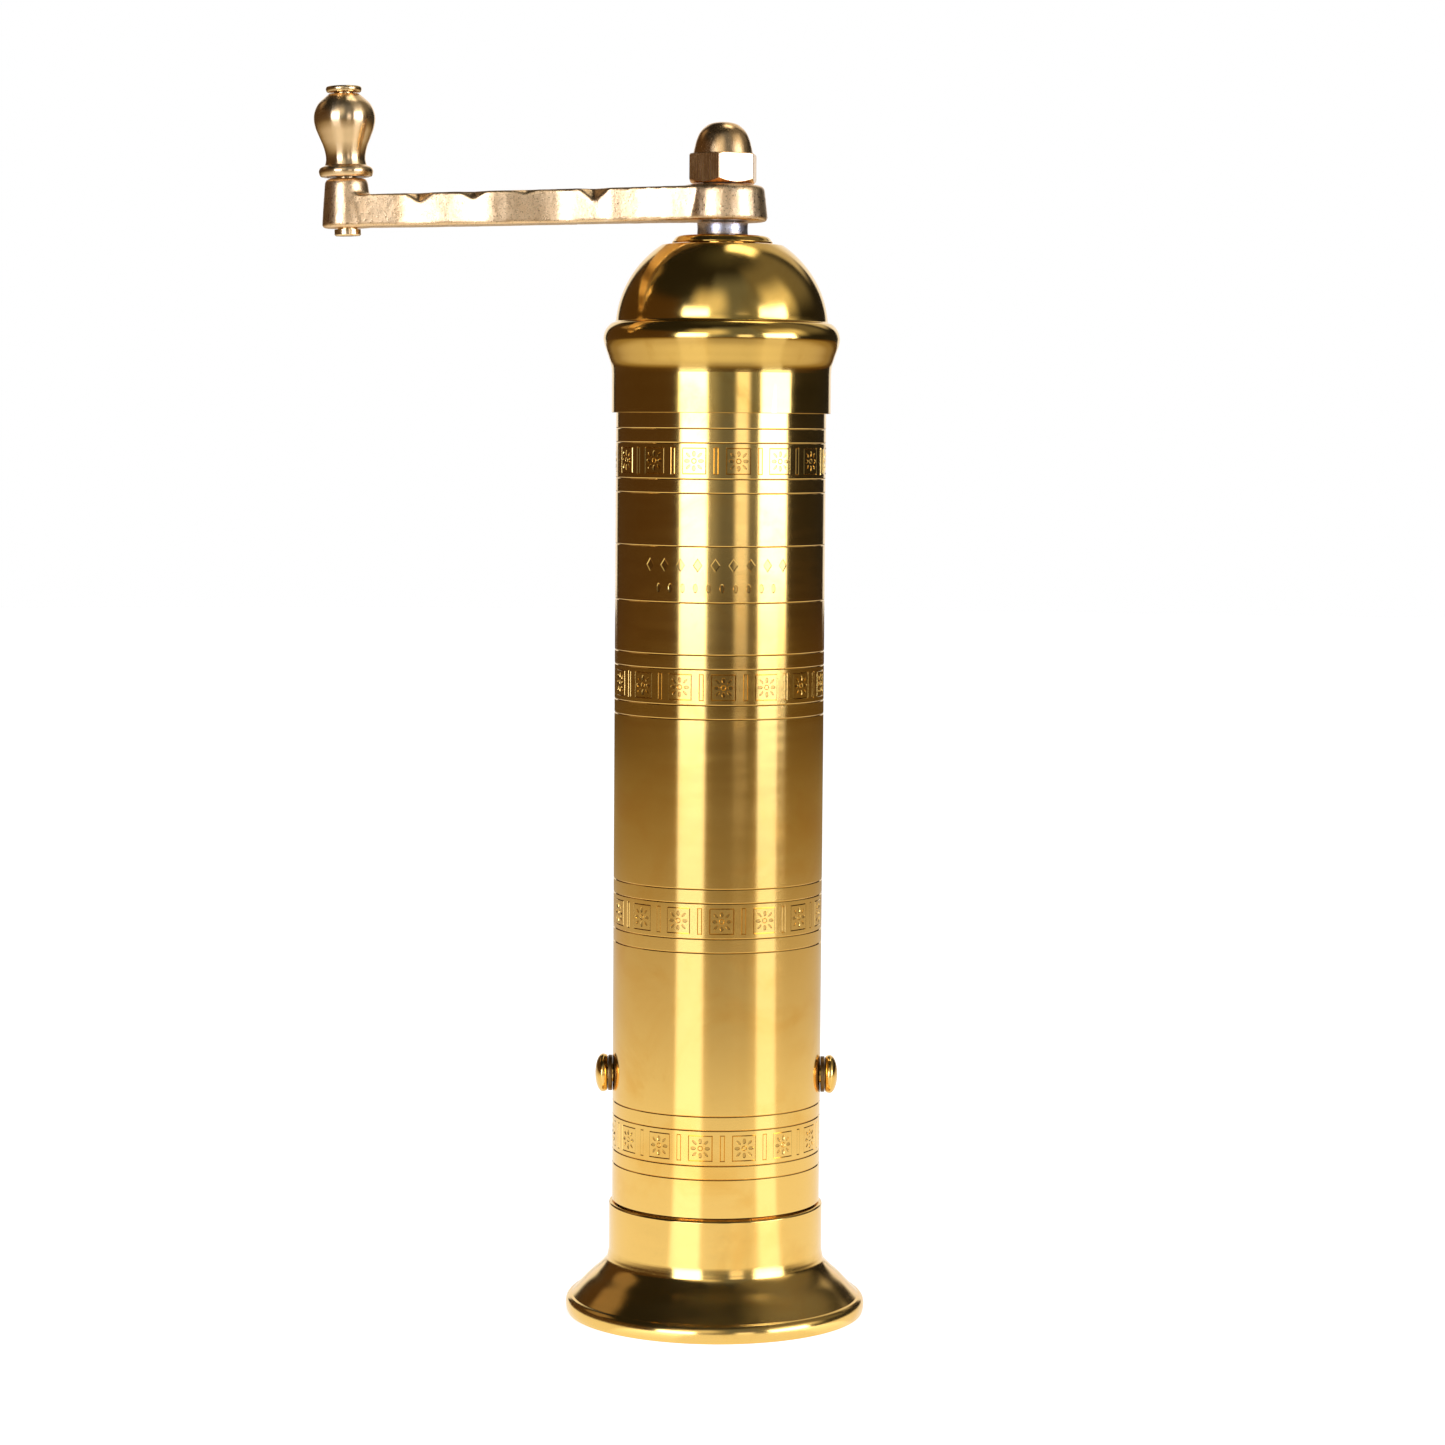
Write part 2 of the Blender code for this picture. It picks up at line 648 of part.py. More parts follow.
def make_lid_bush():
    """Flanged bush in the top of the lid, with a nut under the dome."""
    outline = [
        *reversed(arc((FLANGE_R - FLANGE_T, FLANGE_Z + 0.2 * MM), (FLANGE_T, FLANGE_T - 0.2 * MM), 0, 90, 4)),
        (FLANGE_R - 0.2 * MM, FLANGE_Z),
        (BUSH_R, FLANGE_Z),
        (BUSH_R, BUSH_Z),
        (BORE_R, BUSH_Z),
        (BORE_R, BUSH_TOP_Z),
    ]
    turned("lid_bush", outline, LID_BRASS, MILL_AXIS, bored=True)
    nut = cylinder("lid_bush_nut", BUSH_NUT_R, BUSH_NUT_Z, BUSH_NUT_Z + BUSH_NUT_T, BRASS, MILL_AXIS, 6)
    hole = cylinder("bush_nut_bore", BUSH_R + GAP, BUSH_NUT_Z - GAP, BUSH_NUT_Z + BUSH_NUT_T + GAP, None, MILL_AXIS)
    combine(nut, hole, "DIFFERENCE")
    settle(nut)


def make_drive_shaft():
    """Long shaft: square foot, clip groove under the bush, two flats in the hub, and a threaded top in the nut."""
    square_top = SQUARE_Z + SQUARE_L
    groove_r = SHAFT_R - CLIP_DEPTH
    outline = [
        (0.0, SHAFT_TOP_Z),
        (SHAFT_R - 0.6 * MM, SHAFT_TOP_Z),
        (SHAFT_R, SHAFT_TOP_Z - 0.6 * MM),
        (SHAFT_R, CLIP_Z + CLIP_T + GAP),
        (groove_r, CLIP_Z + CLIP_T + GAP),
        (groove_r, CLIP_Z - GAP),
        (SHAFT_R, CLIP_Z - GAP),
        (SHAFT_R, square_top),
        (0.0, square_top),
    ]
    shaft = turned("drive_shaft", outline, STEEL, MILL_AXIS)
    half = SQUARE_W / 2
    square = block("shaft_square", (-half, -half, SQUARE_Z), (half, half, square_top + GAP), None, MILL_AXIS)
    combine(shaft, square, "UNION")
    for side in (1, -1):
        inner = side * FLAT_W / 2
        outer = side * (SHAFT_R + GAP)
        low = (-SHAFT_R - GAP, min(inner, outer), HUB_Z - GAP)
        high = (SHAFT_R + GAP, max(inner, outer), SHAFT_TOP_Z + GAP)
        combine(shaft, block(f"shaft_flat_{side}", low, high, None, MILL_AXIS), "DIFFERENCE")
    settle(shaft)


def make_shaft_stack():
    """The loose rings on the shaft: a sleeve over the bush, and a washer and a spring clip under it."""

    def ring(name, radius, low, height):
        high = low + height
        outline = [(radius, high), (radius, low), (BORE_R, low), (BORE_R, high)]
        turned(name, outline, STEEL, MILL_AXIS, bored=True)

    ring("spacer_sleeve", SLEEVE_R, SLEEVE_Z, SLEEVE_H)
    ring("retaining_washer", WASHER_R, WASHER_Z, WASHER_T)
    inner_r = SHAFT_R - CLIP_DEPTH + GAP
    high = CLIP_Z + CLIP_T
    outline = [(CLIP_R, high), (CLIP_R, CLIP_Z), (inner_r, CLIP_Z), (inner_r, high)]
    clip = turned("retaining_clip", outline, STEEL, MILL_AXIS, bored=True)
    corner = (0.0, -CLIP_MOUTH / 2, CLIP_Z - GAP)
    mouth = block("clip_mouth", corner, (CLIP_R + GAP, CLIP_MOUTH / 2, high + GAP), None, MILL_AXIS)
    combine(clip, mouth, "DIFFERENCE")
    settle(clip)


def hub_solid(name, radius, draft, low, high, round_r, look, parent, sides):
    """A cast boss: wider at its foot, with rounded edges, solid to the axis."""
    top = arc((radius - draft - round_r, high - round_r), (round_r, round_r), 90, 0, 3)
    bottom = arc((radius - round_r / 2, low + round_r / 2), (round_r / 2, round_r / 2), 0, -90, 2)
    return turned(name, [(0.0, high), *top, *bottom, (0.0, low)], look, parent, sides)


def arm_side_outline():
    """Side view of the bare arm in its own line: distance from the hub to -X, and height about the middle."""
    half = ARM_T / 2
    root = HUB_H / 2 - 0.2 * MM
    crown = [(0.0, root), (0.45 * CRANK_R, half + 0.2 * MM), (CRANK_R, half - 0.1 * MM)]
    belly = [(CRANK_R, -half), (0.7 * CRANK_R, -half - 0.2 * MM), (0.0, -root)]
    return [(-x, z) for x, z in (*smooth(crown, 4), *smooth(belly, 4))]


def arm_plan_outline():
    """Plan view: wide at the hub, waisted along the middle, and a little wider again at the knob."""
    side = smooth(
        [
            (0.0, ARM_ROOT_W / 2),
            (0.16 * CRANK_R, ARM_ROOT_W / 2 - 1.7 * MM),
            (0.35 * CRANK_R, ARM_W / 2),
            (0.7 * CRANK_R, ARM_W / 2),
            (CRANK_R, ARM_END_W / 2),
        ],
        3,
    )
    return [(-x, y) for x, y in side] + [(-x, -y) for x, y in reversed(side)]


def add_notches(arm):
    """V nicks across both top edges of the arm."""
    shape = bmesh.new()
    for distance, depth in NOTCHES:
        for side in (1, -1):
            edge = Matrix.Translation((-distance, side * ARM_W / 2, ARM_T / 2 + 0.1 * MM))
            across = Matrix.Rotation(side * math.radians(45), 4, "X")
            wedge = Matrix.Diagonal((NOTCH_W / 2, depth / math.sqrt(2), 1.0, 1.0))
            bmesh.ops.create_cone(
                shape,
                cap_ends=True,
                segments=4,
                radius1=1.0,
                radius2=1.0,
                depth=2 * NOTCH_W,
                matrix=edge @ across @ wedge,
            )
    mesh = bpy.data.meshes.new("arm_notches")
    shape.to_mesh(mesh)
    shape.free()
    combine(arm, add_piece("arm_notches", mesh, None, ARM_LINE), "DIFFERENCE")


def make_crank_arm():
    """Cast arm: the meeting of its side view and its plan, with a hub, a boss for the knob and nicked edges."""
    deep = 2 * HUB_H
    arm = slab("crank_arm", arm_plan_outline(), deep, BRONZE, ARM_LINE)
    side = slab("arm_side_view", arm_side_outline(), deep * 2, None, ARM_LINE, rotation=(math.pi / 2, 0.0, 0.0))
    combine(arm, side, "INTERSECT")
    add_notches(arm)
    high = HUB_Z + HUB_H
    combine(arm, hub_solid("arm_hub", HUB_R, HUB_DRAFT, HUB_Z, high, 1.2 * MM, None, MILL_AXIS, SIDES), "UNION")
    boss = hub_solid("arm_boss", BOSS_R, BOSS_DRAFT, -BOSS_LOW, BOSS_HIGH, 1.0 * MM, None, KNOB_AXIS, SIDES)
    combine(arm, boss, "UNION")
    pin_bore = cylinder("arm_pin_bore", PIN_R + GAP, -BOSS_LOW - GAP, BOSS_HIGH + GAP, None, KNOB_AXIS)
    combine(arm, pin_bore, "DIFFERENCE")
    corner = math.degrees(math.asin((FLAT_W / 2 + GAP) / BORE_R))
    keyed = [*arc((0.0, 0.0), (BORE_R, BORE_R), -corner, corner, 6)]
    keyed += [(-x, -y) for x, y in keyed]
    hub_bore = slab("arm_hub_bore", keyed, HUB_H + 2 * GAP, None, MILL_AXIS, location=(0.0, 0.0, ARM_Z))
    combine(arm, hub_bore, "DIFFERENCE")
    settle(arm)


def make_cap_nut():
    """Acorn nut: a hexagon with its lower corners turned off, a pointed dome and a blind thread."""
    hex_top = NUT_Z + NUT_HEX_H
    corner_r = NUT_FLATS / math.sqrt(3)
    turn = math.radians(-5.6)
    nut = cylinder("cap_nut", corner_r, NUT_Z, hex_top, BRONZE, MILL_AXIS, 6, rotation=(0.0, 0.0, turn))
    chamfer = [
        (0.0, hex_top + GAP),
        (corner_r + GAP, hex_top + GAP),
        (corner_r + GAP, NUT_Z + 0.8 * MM),
        (corner_r - 1.1 * MM, NUT_Z - GAP),
        (0.0, NUT_Z - GAP),
    ]
    combine(nut, turned("nut_chamfer", chamfer, None, MILL_AXIS), "INTERSECT")
    dome = smooth(
        [
            (0.0, hex_top + NUT_DOME_H),
            (0.42 * NUT_DOME_R, hex_top + 0.93 * NUT_DOME_H),
            (0.78 * NUT_DOME_R, hex_top + 0.62 * NUT_DOME_H),
            (NUT_DOME_R, hex_top),
        ],
        3,
    )
    outline = [*dome, (NUT_DOME_R, hex_top - 2 * GAP), (0.0, hex_top - 2 * GAP)]
    combine(nut, turned("nut_dome", outline, None, MILL_AXIS), "UNION")
    thread = cylinder("nut_thread", BORE_R, NUT_Z - GAP, NUT_Z + NUT_THREAD_H, None, MILL_AXIS)
    combine(nut, thread, "DIFFERENCE")
    settle(nut)


def make_knob():
    """Turned knob that spins on a pin riveted into the arm's boss, over a thin washer in a recess of its foot."""
    bore = PIN_R + GAP
    side = smooth(
        [
            (0.48 * KNOB_R, KNOB_LOW + KNOB_H - 0.3 * MM),
            (0.82 * KNOB_R, KNOB_LOW + 0.89 * KNOB_H),
            (KNOB_R, KNOB_LOW + KNOB_BULB_H),
            (0.86 * KNOB_R, KNOB_LOW + 0.47 * KNOB_H),
            (KNOB_WAIST_R, KNOB_LOW + 0.25 * KNOB_H),
            (KNOB_WAIST_R + 0.3 * MM, KNOB_LOW + 2.4 * MM),
        ],
        2,
    )
    flange = arc((KNOB_FLANGE_R - 0.9 * MM, KNOB_LOW + 1.05 * MM), (0.9 * MM, 1.05 * MM), 90, -90, 4)
    outline = [
        (bore, KNOB_LOW + KNOB_H),
        (0.48 * KNOB_R, KNOB_LOW + KNOB_H),
        *side,
        *flange,
        (KNOB_RECESS_R, KNOB_LOW),
        (KNOB_RECESS_R, KNOB_LOW + KNOB_RECESS_H),
        (bore, KNOB_LOW + KNOB_RECESS_H),
    ]
    turned("knob_grip", outline, BRASS, KNOB_AXIS, bored=True)
    low = BOSS_HIGH + GAP
    high = low + KNOB_WASHER_T
    ring = [(KNOB_WASHER_R, high), (KNOB_WASHER_R, low), (bore, low), (bore, high)]
    turned("knob_washer", ring, STEEL, KNOB_AXIS, SIDES_SMALL, bored=True)


def make_knob_pin():
    head_low = KNOB_LOW + KNOB_H + GAP
    head_top = head_low + PIN_HEAD_T
    stub_top = -BOSS_LOW - GAP
    stub_low = stub_top - PIN_STUB_H
    outline = [
        (0.0, head_top),
        (PIN_HEAD_R - 0.3 * MM, head_top),
        (PIN_HEAD_R, head_top - 0.3 * MM),
        (PIN_HEAD_R, head_low),
        (PIN_R, head_low),
        (PIN_R, stub_top),
        (PIN_STUB_R, stub_top),
        (PIN_STUB_R, stub_low),
        (0.0, stub_low),
    ]
    turned("knob_pin", outline, BRASS, KNOB_AXIS, SIDES_SMALL)


make_foot()
make_body_tube()
make_burr_ring()
make_burr_cone()
make_thrust_ball()
make_side_screws()
make_adjuster_bridge()
make_bridge_screws()
make_adjusting_screw()
make_thumb_wheel()
make_adjuster_spring()
make_lid_shell()
make_lid_bush()
make_drive_shaft()
make_shaft_stack()
make_crank_arm()
make_cap_nut()
make_knob()
make_knob_pin()
for part in list(PARTS.objects):
    if part.modifiers:
        settle(part)
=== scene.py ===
"""The looks of a brass pepper mill with a hand crank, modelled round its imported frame.

Metres, +Z up. The mill stands on Z = 0 and its crank points to -X. Places and overall sizes come from the
frame.
"""

import json
import math

import bpy
from mathutils import Matrix, Vector


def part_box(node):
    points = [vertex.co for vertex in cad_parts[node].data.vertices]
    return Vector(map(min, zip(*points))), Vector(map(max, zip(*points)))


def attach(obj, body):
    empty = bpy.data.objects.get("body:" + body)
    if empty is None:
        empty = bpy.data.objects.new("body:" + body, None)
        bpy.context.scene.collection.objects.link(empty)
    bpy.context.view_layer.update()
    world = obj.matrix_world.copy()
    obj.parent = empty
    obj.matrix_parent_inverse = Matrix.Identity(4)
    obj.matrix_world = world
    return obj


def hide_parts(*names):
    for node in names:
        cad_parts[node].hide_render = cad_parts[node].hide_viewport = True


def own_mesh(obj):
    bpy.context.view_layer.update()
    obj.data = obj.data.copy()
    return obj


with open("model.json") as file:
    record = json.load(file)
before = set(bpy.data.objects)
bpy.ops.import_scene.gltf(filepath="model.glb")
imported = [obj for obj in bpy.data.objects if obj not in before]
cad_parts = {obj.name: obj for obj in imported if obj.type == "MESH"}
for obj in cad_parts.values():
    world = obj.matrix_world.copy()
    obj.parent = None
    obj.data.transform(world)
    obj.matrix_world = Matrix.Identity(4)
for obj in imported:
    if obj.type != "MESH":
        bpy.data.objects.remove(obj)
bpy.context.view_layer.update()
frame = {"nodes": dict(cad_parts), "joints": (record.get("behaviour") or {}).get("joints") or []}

MM = 0.001
FULL_TURN = 2 * math.pi
SEGMENTS = 192  # round a large turned piece
SEGMENTS_SMALL = 96
JOIN = 0.000001  # two points closer than this are one


def middle(node):
    low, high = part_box(node)
    return (low + high) / 2


def joint(name):
    return next(entry for entry in frame["joints"] if entry["name"] == name)


# The mill's axis and sizes, read from the frame
TUBE_LOW, TUBE_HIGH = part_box("body_tube")
MILL_X = middle("body_tube").x
TUBE_R = (TUBE_HIGH.x - TUBE_LOW.x) / 2
MILL = Matrix.Translation((MILL_X, 0.0, 0.0))
KNOB_FOOT = Vector(joint("knob_spin")["pos_m"])
KNOB_AXIS = Vector(joint("knob_spin")["axis"]).normalized()
KNOB_LEAN = Vector((0.0, 0.0, 1.0)).rotation_difference(KNOB_AXIS)
KNOB = Matrix.Translation(KNOB_FOOT) @ KNOB_LEAN.to_matrix().to_4x4()


# ---------------------------------------------------------------- modelling tools


def deselect():
    for shown in bpy.context.selected_objects:
        shown.select_set(False)


def start(piece):
    """Makes one piece the active and the only selected object."""
    deselect()
    piece.select_set(True)
    bpy.context.view_layer.objects.active = piece


def settle(piece, smooth_angle=35):
    """Applies the piece's modifiers, puts its object at the origin and shades it smooth up to an angle."""
    start(piece)
    for modifier in list(piece.modifiers):
        bpy.ops.object.modifier_apply(modifier=modifier.name)
    bpy.ops.object.transform_apply(location=True, rotation=True, scale=True)
    bpy.ops.object.shade_smooth_by_angle(angle=math.radians(smooth_angle))
    flat_wins = piece.modifiers.new("Large faces stay true", "WEIGHTED_NORMAL")
    flat_wins.keep_sharp = True
    bpy.ops.object.modifier_apply(modifier=flat_wins.name)
    return piece


def clean(piece):
    """Merges double points and turns all faces outwards."""
    start(piece)
    bpy.ops.object.mode_set(mode="EDIT")
    bpy.ops.mesh.select_all(action="SELECT")
    bpy.ops.mesh.remove_doubles(threshold=JOIN)
    bpy.ops.mesh.normals_make_consistent(inside=False)
    bpy.ops.object.mode_set(mode="OBJECT")


def soften(piece, width, steps=2, angle=30):
    """Rounds the edges that are sharper than an angle."""
    bevel = piece.modifiers.new("Soften", "BEVEL")
    bevel.width = width
    bevel.segments = steps
    bevel.limit_method = "ANGLE"
    bevel.angle_limit = math.radians(angle)
    bevel.use_clamp_overlap = True


def combine(piece, other, operation):
    """Cuts the other object from a piece, or joins the two, and removes the other."""
    start(piece)
    boolean = piece.modifiers.new(operation, "BOOLEAN")
    boolean.operation = operation
    boolean.solver = "EXACT"
    boolean.object = other
    bpy.ops.object.modifier_apply(modifier=boolean.name)
    bpy.data.objects.remove(other)


def join(pieces):
    """Joins pieces into the first one, as loose parts of one mesh."""
    start(pieces[0])
    for piece in pieces[1:]:
        piece.select_set(True)
    bpy.ops.object.join()
    return pieces[0]


def dress(piece, body, slot, material, *nodes):
    """Gives a finished piece its finish and its body, and lets it stand for its CAD nodes."""
    piece.data.materials.clear()
    piece.data.materials.append(material)
    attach(piece, body)
    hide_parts(*nodes)


def arc(centre, radii, first, last, count):
    """Points along an ellipse's arc, angles in degrees from the radius direction upwards."""
    angles = [math.radians(first + (last - first) * i / count) for i in range(count + 1)]
    return [(centre[0] + radii[0] * math.cos(a), centre[1] + radii[1] * math.sin(a)) for a in angles]


def smooth(points, steps):
    """Points of a smooth curve that passes through the given ones."""
    ends = [points[0], *points, points[-1]]
    curve = []
    for a, b, c, d in zip(ends, ends[1:], ends[2:], ends[3:]):
        a, b, c, d = (Vector(point) for point in (a, b, c, d))
        for t in (step / steps for step in range(steps)):
            bend = (2 * a - 5 * b + 4 * c - d) * t**2 + (3 * b - a - 3 * c + d) * t**3
            curve.append(tuple(b + 0.5 * ((c - a) * t + bend)))
    curve.append(points[-1])
    return curve


def turned(name, outline, place=MILL, segments=SEGMENTS, bored=True, edge=0.12 * MM):
    """A piece turned about its own Z, spun from an outline of (radius, height) points. The outline goes down
    the outside, and on a bored piece back up the bore. Its corners are broken by a small edge radius."""
    points = [Vector((radius, 0.0, height)) for radius, height in outline]
    deselect()
    bpy.ops.mesh.primitive_plane_add(size=MM, location=points[0])
    piece = bpy.context.active_object
    piece.name = name
    bpy.ops.object.transform_apply(location=True)
    bpy.ops.object.mode_set(mode="EDIT")
    bpy.ops.mesh.select_all(action="SELECT")
    bpy.ops.mesh.merge(type="CENTER")
    for here, there in zip(points, points[1:]):
        bpy.ops.mesh.extrude_region_move(TRANSFORM_OT_translate={"value": there - here})
    if bored:
        bpy.ops.mesh.extrude_region_move(TRANSFORM_OT_translate={"value": points[0] - points[-1]})
    bpy.ops.mesh.select_all(action="SELECT")
    bpy.ops.mesh.remove_doubles(threshold=JOIN)
    bpy.ops.mesh.select_all(action="SELECT")
    bpy.ops.mesh.spin(steps=segments, angle=FULL_TURN, center=(0.0, 0.0, 0.0), axis=(0.0, 0.0, 1.0))
    bpy.ops.object.mode_set(mode="OBJECT")
    clean(piece)
    piece.data.transform(place)
    if edge:
        soften(piece, edge)
    return piece


def remove_faces(piece, unwanted):
    """Deletes the faces for which a test of the face holds."""
    start(piece)
    bpy.ops.object.mode_set(mode="EDIT")
    bpy.ops.mesh.select_mode(type="FACE")
    bpy.ops.mesh.select_all(action="DESELECT")
    bpy.ops.object.mode_set(mode="OBJECT")
    for face in piece.data.polygons:
        face.select = unwanted(face)
    bpy.ops.object.mode_set(mode="EDIT")
    bpy.ops.mesh.delete(type="FACE")
    bpy.ops.mesh.select_mode(type="VERT")
    bpy.ops.object.mode_set(mode="OBJECT")


def bar(name, radius, low, high, place=MILL, sides=48):
    """A round bar along its own Z, for cutting."""
    deselect()
    bpy.ops.mesh.primitive_cylinder_add(
        vertices=sides, radius=radius, depth=high - low, location=(0.0, 0.0, (low + high) / 2)
    )
    piece = bpy.context.active_object
    piece.name = name
    bpy.ops.object.transform_apply(location=True)
    piece.data.transform(place)
    return piece


def refined(node, edge=0.15 * MM):
    """A merged copy of a CAD node with its edges broken."""
    source = frame["nodes"][node]
    piece = bpy.data.objects.new(f"{node}_fine", source.data.copy())
    bpy.context.scene.collection.objects.link(piece)
    clean(piece)
    if edge:
        soften(piece, edge)
    return piece


# ---------------------------------------------------------------- shader effects shared by the finishes


def feed(tree, source, socket):
    """Links a socket to another one, or sets it to a plain value."""
    if isinstance(source, bpy.types.NodeSocket):
        tree.links.new(source, socket)
    else:
        socket.default_value = source


def maths(tree, operation, *values):
    made = tree.nodes.new("ShaderNodeMath")
    made.operation = operation
    for socket, value in zip(made.inputs, values):
        feed(tree, value, socket)
    return made.outputs[0]


def times(tree, first, second):
    return maths(tree, "MULTIPLY", first, second)


def spread(tree, value, low, high, first=0.0, last=1.0, kind="SMOOTHSTEP"):
    """Maps a value from low..high to first..last, held at its ends."""
    made = tree.nodes.new("ShaderNodeMapRange")
    made.interpolation_type = kind
    for socket, source in zip(made.inputs, (value, low, high, first, last)):
        feed(tree, source, socket)
    return made.outputs[0]


def noise(tree, vector, scale, detail=2.0, roughness=0.5, distortion=0.0, w=None):
    made = tree.nodes.new("ShaderNodeTexNoise")
    if w is not None:
        made.noise_dimensions = "4D"
        feed(tree, w, made.inputs["W"])
    feed(tree, vector, made.inputs["Vector"])
    feed(tree, scale, made.inputs["Scale"])
    feed(tree, detail, made.inputs["Detail"])
    feed(tree, roughness, made.inputs["Roughness"])
    feed(tree, distortion, made.inputs["Distortion"])
    return made.outputs[0]


def mixed(tree, factor, first, second, blend="MIX"):
    made = tree.nodes.new("ShaderNodeMix")
    made.data_type = "RGBA"
    made.blend_type = blend
    feed(tree, factor, made.inputs["Factor"])
    feed(tree, first, made.inputs["A"])
    feed(tree, second, made.inputs["B"])
    return made.outputs["Result"]


def parts_of(tree, vector):
    made = tree.nodes.new("ShaderNodeSeparateXYZ")
    tree.links.new(vector, made.inputs[0])
    return made.outputs


def from_axis(tree, x, y):
    """Distance from the axis at x = y = 0."""
    return maths(tree, "SQRT", maths(tree, "ADD", times(tree, x, x), times(tree, y, y)))


def together(tree, x, y, z):
    made = tree.nodes.new("ShaderNodeCombineXYZ")
    for socket, value in zip(made.inputs, (x, y, z)):
        feed(tree, value, socket)
    return made.outputs[0]


def new_effect(name, inputs, outputs):
    """An empty node group. Returns its tree, the sockets that come in and the sockets to fill."""
    tree = bpy.data.node_groups.new(name, "ShaderNodeTree")
    for label, default in inputs.items():
        kind = "NodeSocketVector" if label == "Vector" else "NodeSocketFloat"
        socket = tree.interface.new_socket(name=label, in_out="INPUT", socket_type=kind)
        if default is not None:
            socket.default_value = default
    for label in outputs:
        tree.interface.new_socket(name=label, in_out="OUTPUT", socket_type="NodeSocketFloat")
    return tree, tree.nodes.new("NodeGroupInput").outputs, tree.nodes.new("NodeGroupOutput").inputs


def place_effect(tree, effect, **values):
    made = tree.nodes.new("ShaderNodeGroup")
    made.node_tree = effect
    for label, value in values.items():
        feed(tree, value, made.inputs[label])
    return made.outputs


def make_lathe_lines():
    """Rings that a lathe leaves: fine ones for the relief, and broad ones for the sheen. Fineness is rings
    per metre."""
    tree, given, wanted = new_effect("lathe_lines", {"Vector": None, "Fineness": 4000.0}, ("Fine", "Broad"))
    x, y, z = parts_of(tree, given["Vector"])
    radius = from_axis(tree, x, y)
    safe = maths(tree, "MAXIMUM", radius, 0.0001)
    for label, share in (("Fine", 1.0), ("Broad", 0.12)):
        rate = times(tree, given["Fineness"], share)
        vector = together(
            tree,
            times(tree, maths(tree, "DIVIDE", x, safe), 1.6),
            times(tree, maths(tree, "DIVIDE", y, safe), 1.6),
            times(tree, z, rate),
        )
        feed(tree, noise(tree, vector, 1.0, 3.0, 0.6, w=times(tree, radius, rate)), wanted[label])
    return tree


def make_blotches():
    """Uneven patches of tarnish. Scale is patches per metre."""
    inputs = {"Vector": None, "Scale": 60.0, "Low": 0.5, "High": 0.7}
    tree, given, wanted = new_effect("blotches", inputs, ("Mask",))
    cloud = noise(tree, given["Vector"], given["Scale"], 5.0, 0.62, 0.8)
    feed(tree, spread(tree, cloud, given["Low"], given["High"]), wanted["Mask"])
    return tree


def make_scratches():
    """Hairline scratches in three directions, in patches."""
    tree, given, wanted = new_effect("scratches", {"Vector": None, "Scale": 900.0}, ("Mask",))
    found = 0.0
    for turn in (0.35, 1.4, 2.5):
        mapping = tree.nodes.new("ShaderNodeMapping")
        feed(tree, given["Vector"], mapping.inputs["Vector"])
        mapping.inputs["Rotation"].default_value = (turn, 0.7 * turn, 1.9 * turn)
        mapping.inputs["Scale"].default_value = (1.0, 0.03, 1.0)
        line = noise(tree, mapping.outputs[0], given["Scale"], 1.0, 0.4)
        offset = maths(tree, "ABSOLUTE", maths(tree, "SUBTRACT", line, 0.5))
        found = maths(tree, "MAXIMUM", found, spread(tree, offset, 0.0, 0.012, 1.0, 0.0))
    patch = spread(tree, noise(tree, given["Vector"], 90.0, 3.0, 0.6), 0.46, 0.62)
    feed(tree, times(tree, found, patch), wanted["Mask"])
    return tree


def make_cast_grain():
    """Skin of a sand casting that was tumbled: pits, and a soft unevenness. Scale is grains per metre."""
    tree, given, wanted = new_effect("cast_grain", {"Vector": None, "Scale": 2600.0}, ("Relief", "Speckle"))
    coarse = noise(tree, given["Vector"], times(tree, given["Scale"], 0.35), 3.0, 0.6)
    fine = noise(tree, given["Vector"], given["Scale"], 2.0, 0.6)
    relief = maths(tree, "ADD", times(tree, coarse, 0.55), times(tree, fine, 0.45))
    feed(tree, relief, wanted["Relief"])
    feed(tree, spread(tree, fine, 0.52, 0.66), wanted["Speckle"])
    return tree


def make_edge_wear_and_corner_shade():
    """Where an edge is rubbed bright, and painted shade in an inside corner."""
    tree, given, wanted = new_effect("edge_wear_and_corner_shade", {"Amount": 1.0}, ("Edge", "Corner shade"))
    shape = tree.nodes.new("ShaderNodeNewGeometry").outputs["Pointiness"]
    # Edge is rubbed wear; Corner is painted shade in inside corners
    for label, limit in (("Edge", 0.60), ("Corner shade", 0.42)):
        found = spread(tree, shape, 0.53 if label == "Edge" else 0.48, limit)
        feed(tree, times(tree, found, given["Amount"]), wanted[label])
    return tree


def make_cut_depth():
    """How deep the surface lies under a turned wall's radius, as a share of a cut's depth."""
    inputs = {"Vector": None, "Radius": 0.02, "Depth": 0.0001}
    tree, given, wanted = new_effect("cut_depth", inputs, ("Mask",))
    x, y, _ = parts_of(tree, given["Vector"])
    radius = from_axis(tree, x, y)
    depth = maths(tree, "DIVIDE", maths(tree, "SUBTRACT", given["Radius"], radius), given["Depth"])
    feed(tree, spread(tree, depth, 0.1, 1.0, kind="LINEAR"), wanted["Mask"])
    return tree


LATHE_LINES = make_lathe_lines()
BLOTCHES = make_blotches()
SCRATCHES = make_scratches()
CAST_GRAIN = make_cast_grain()
EDGE_WEAR_AND_CORNER_SHADE = make_edge_wear_and_corner_shade()
CUT_DEPTH = make_cut_depth()


# ---------------------------------------------------------------- finishes


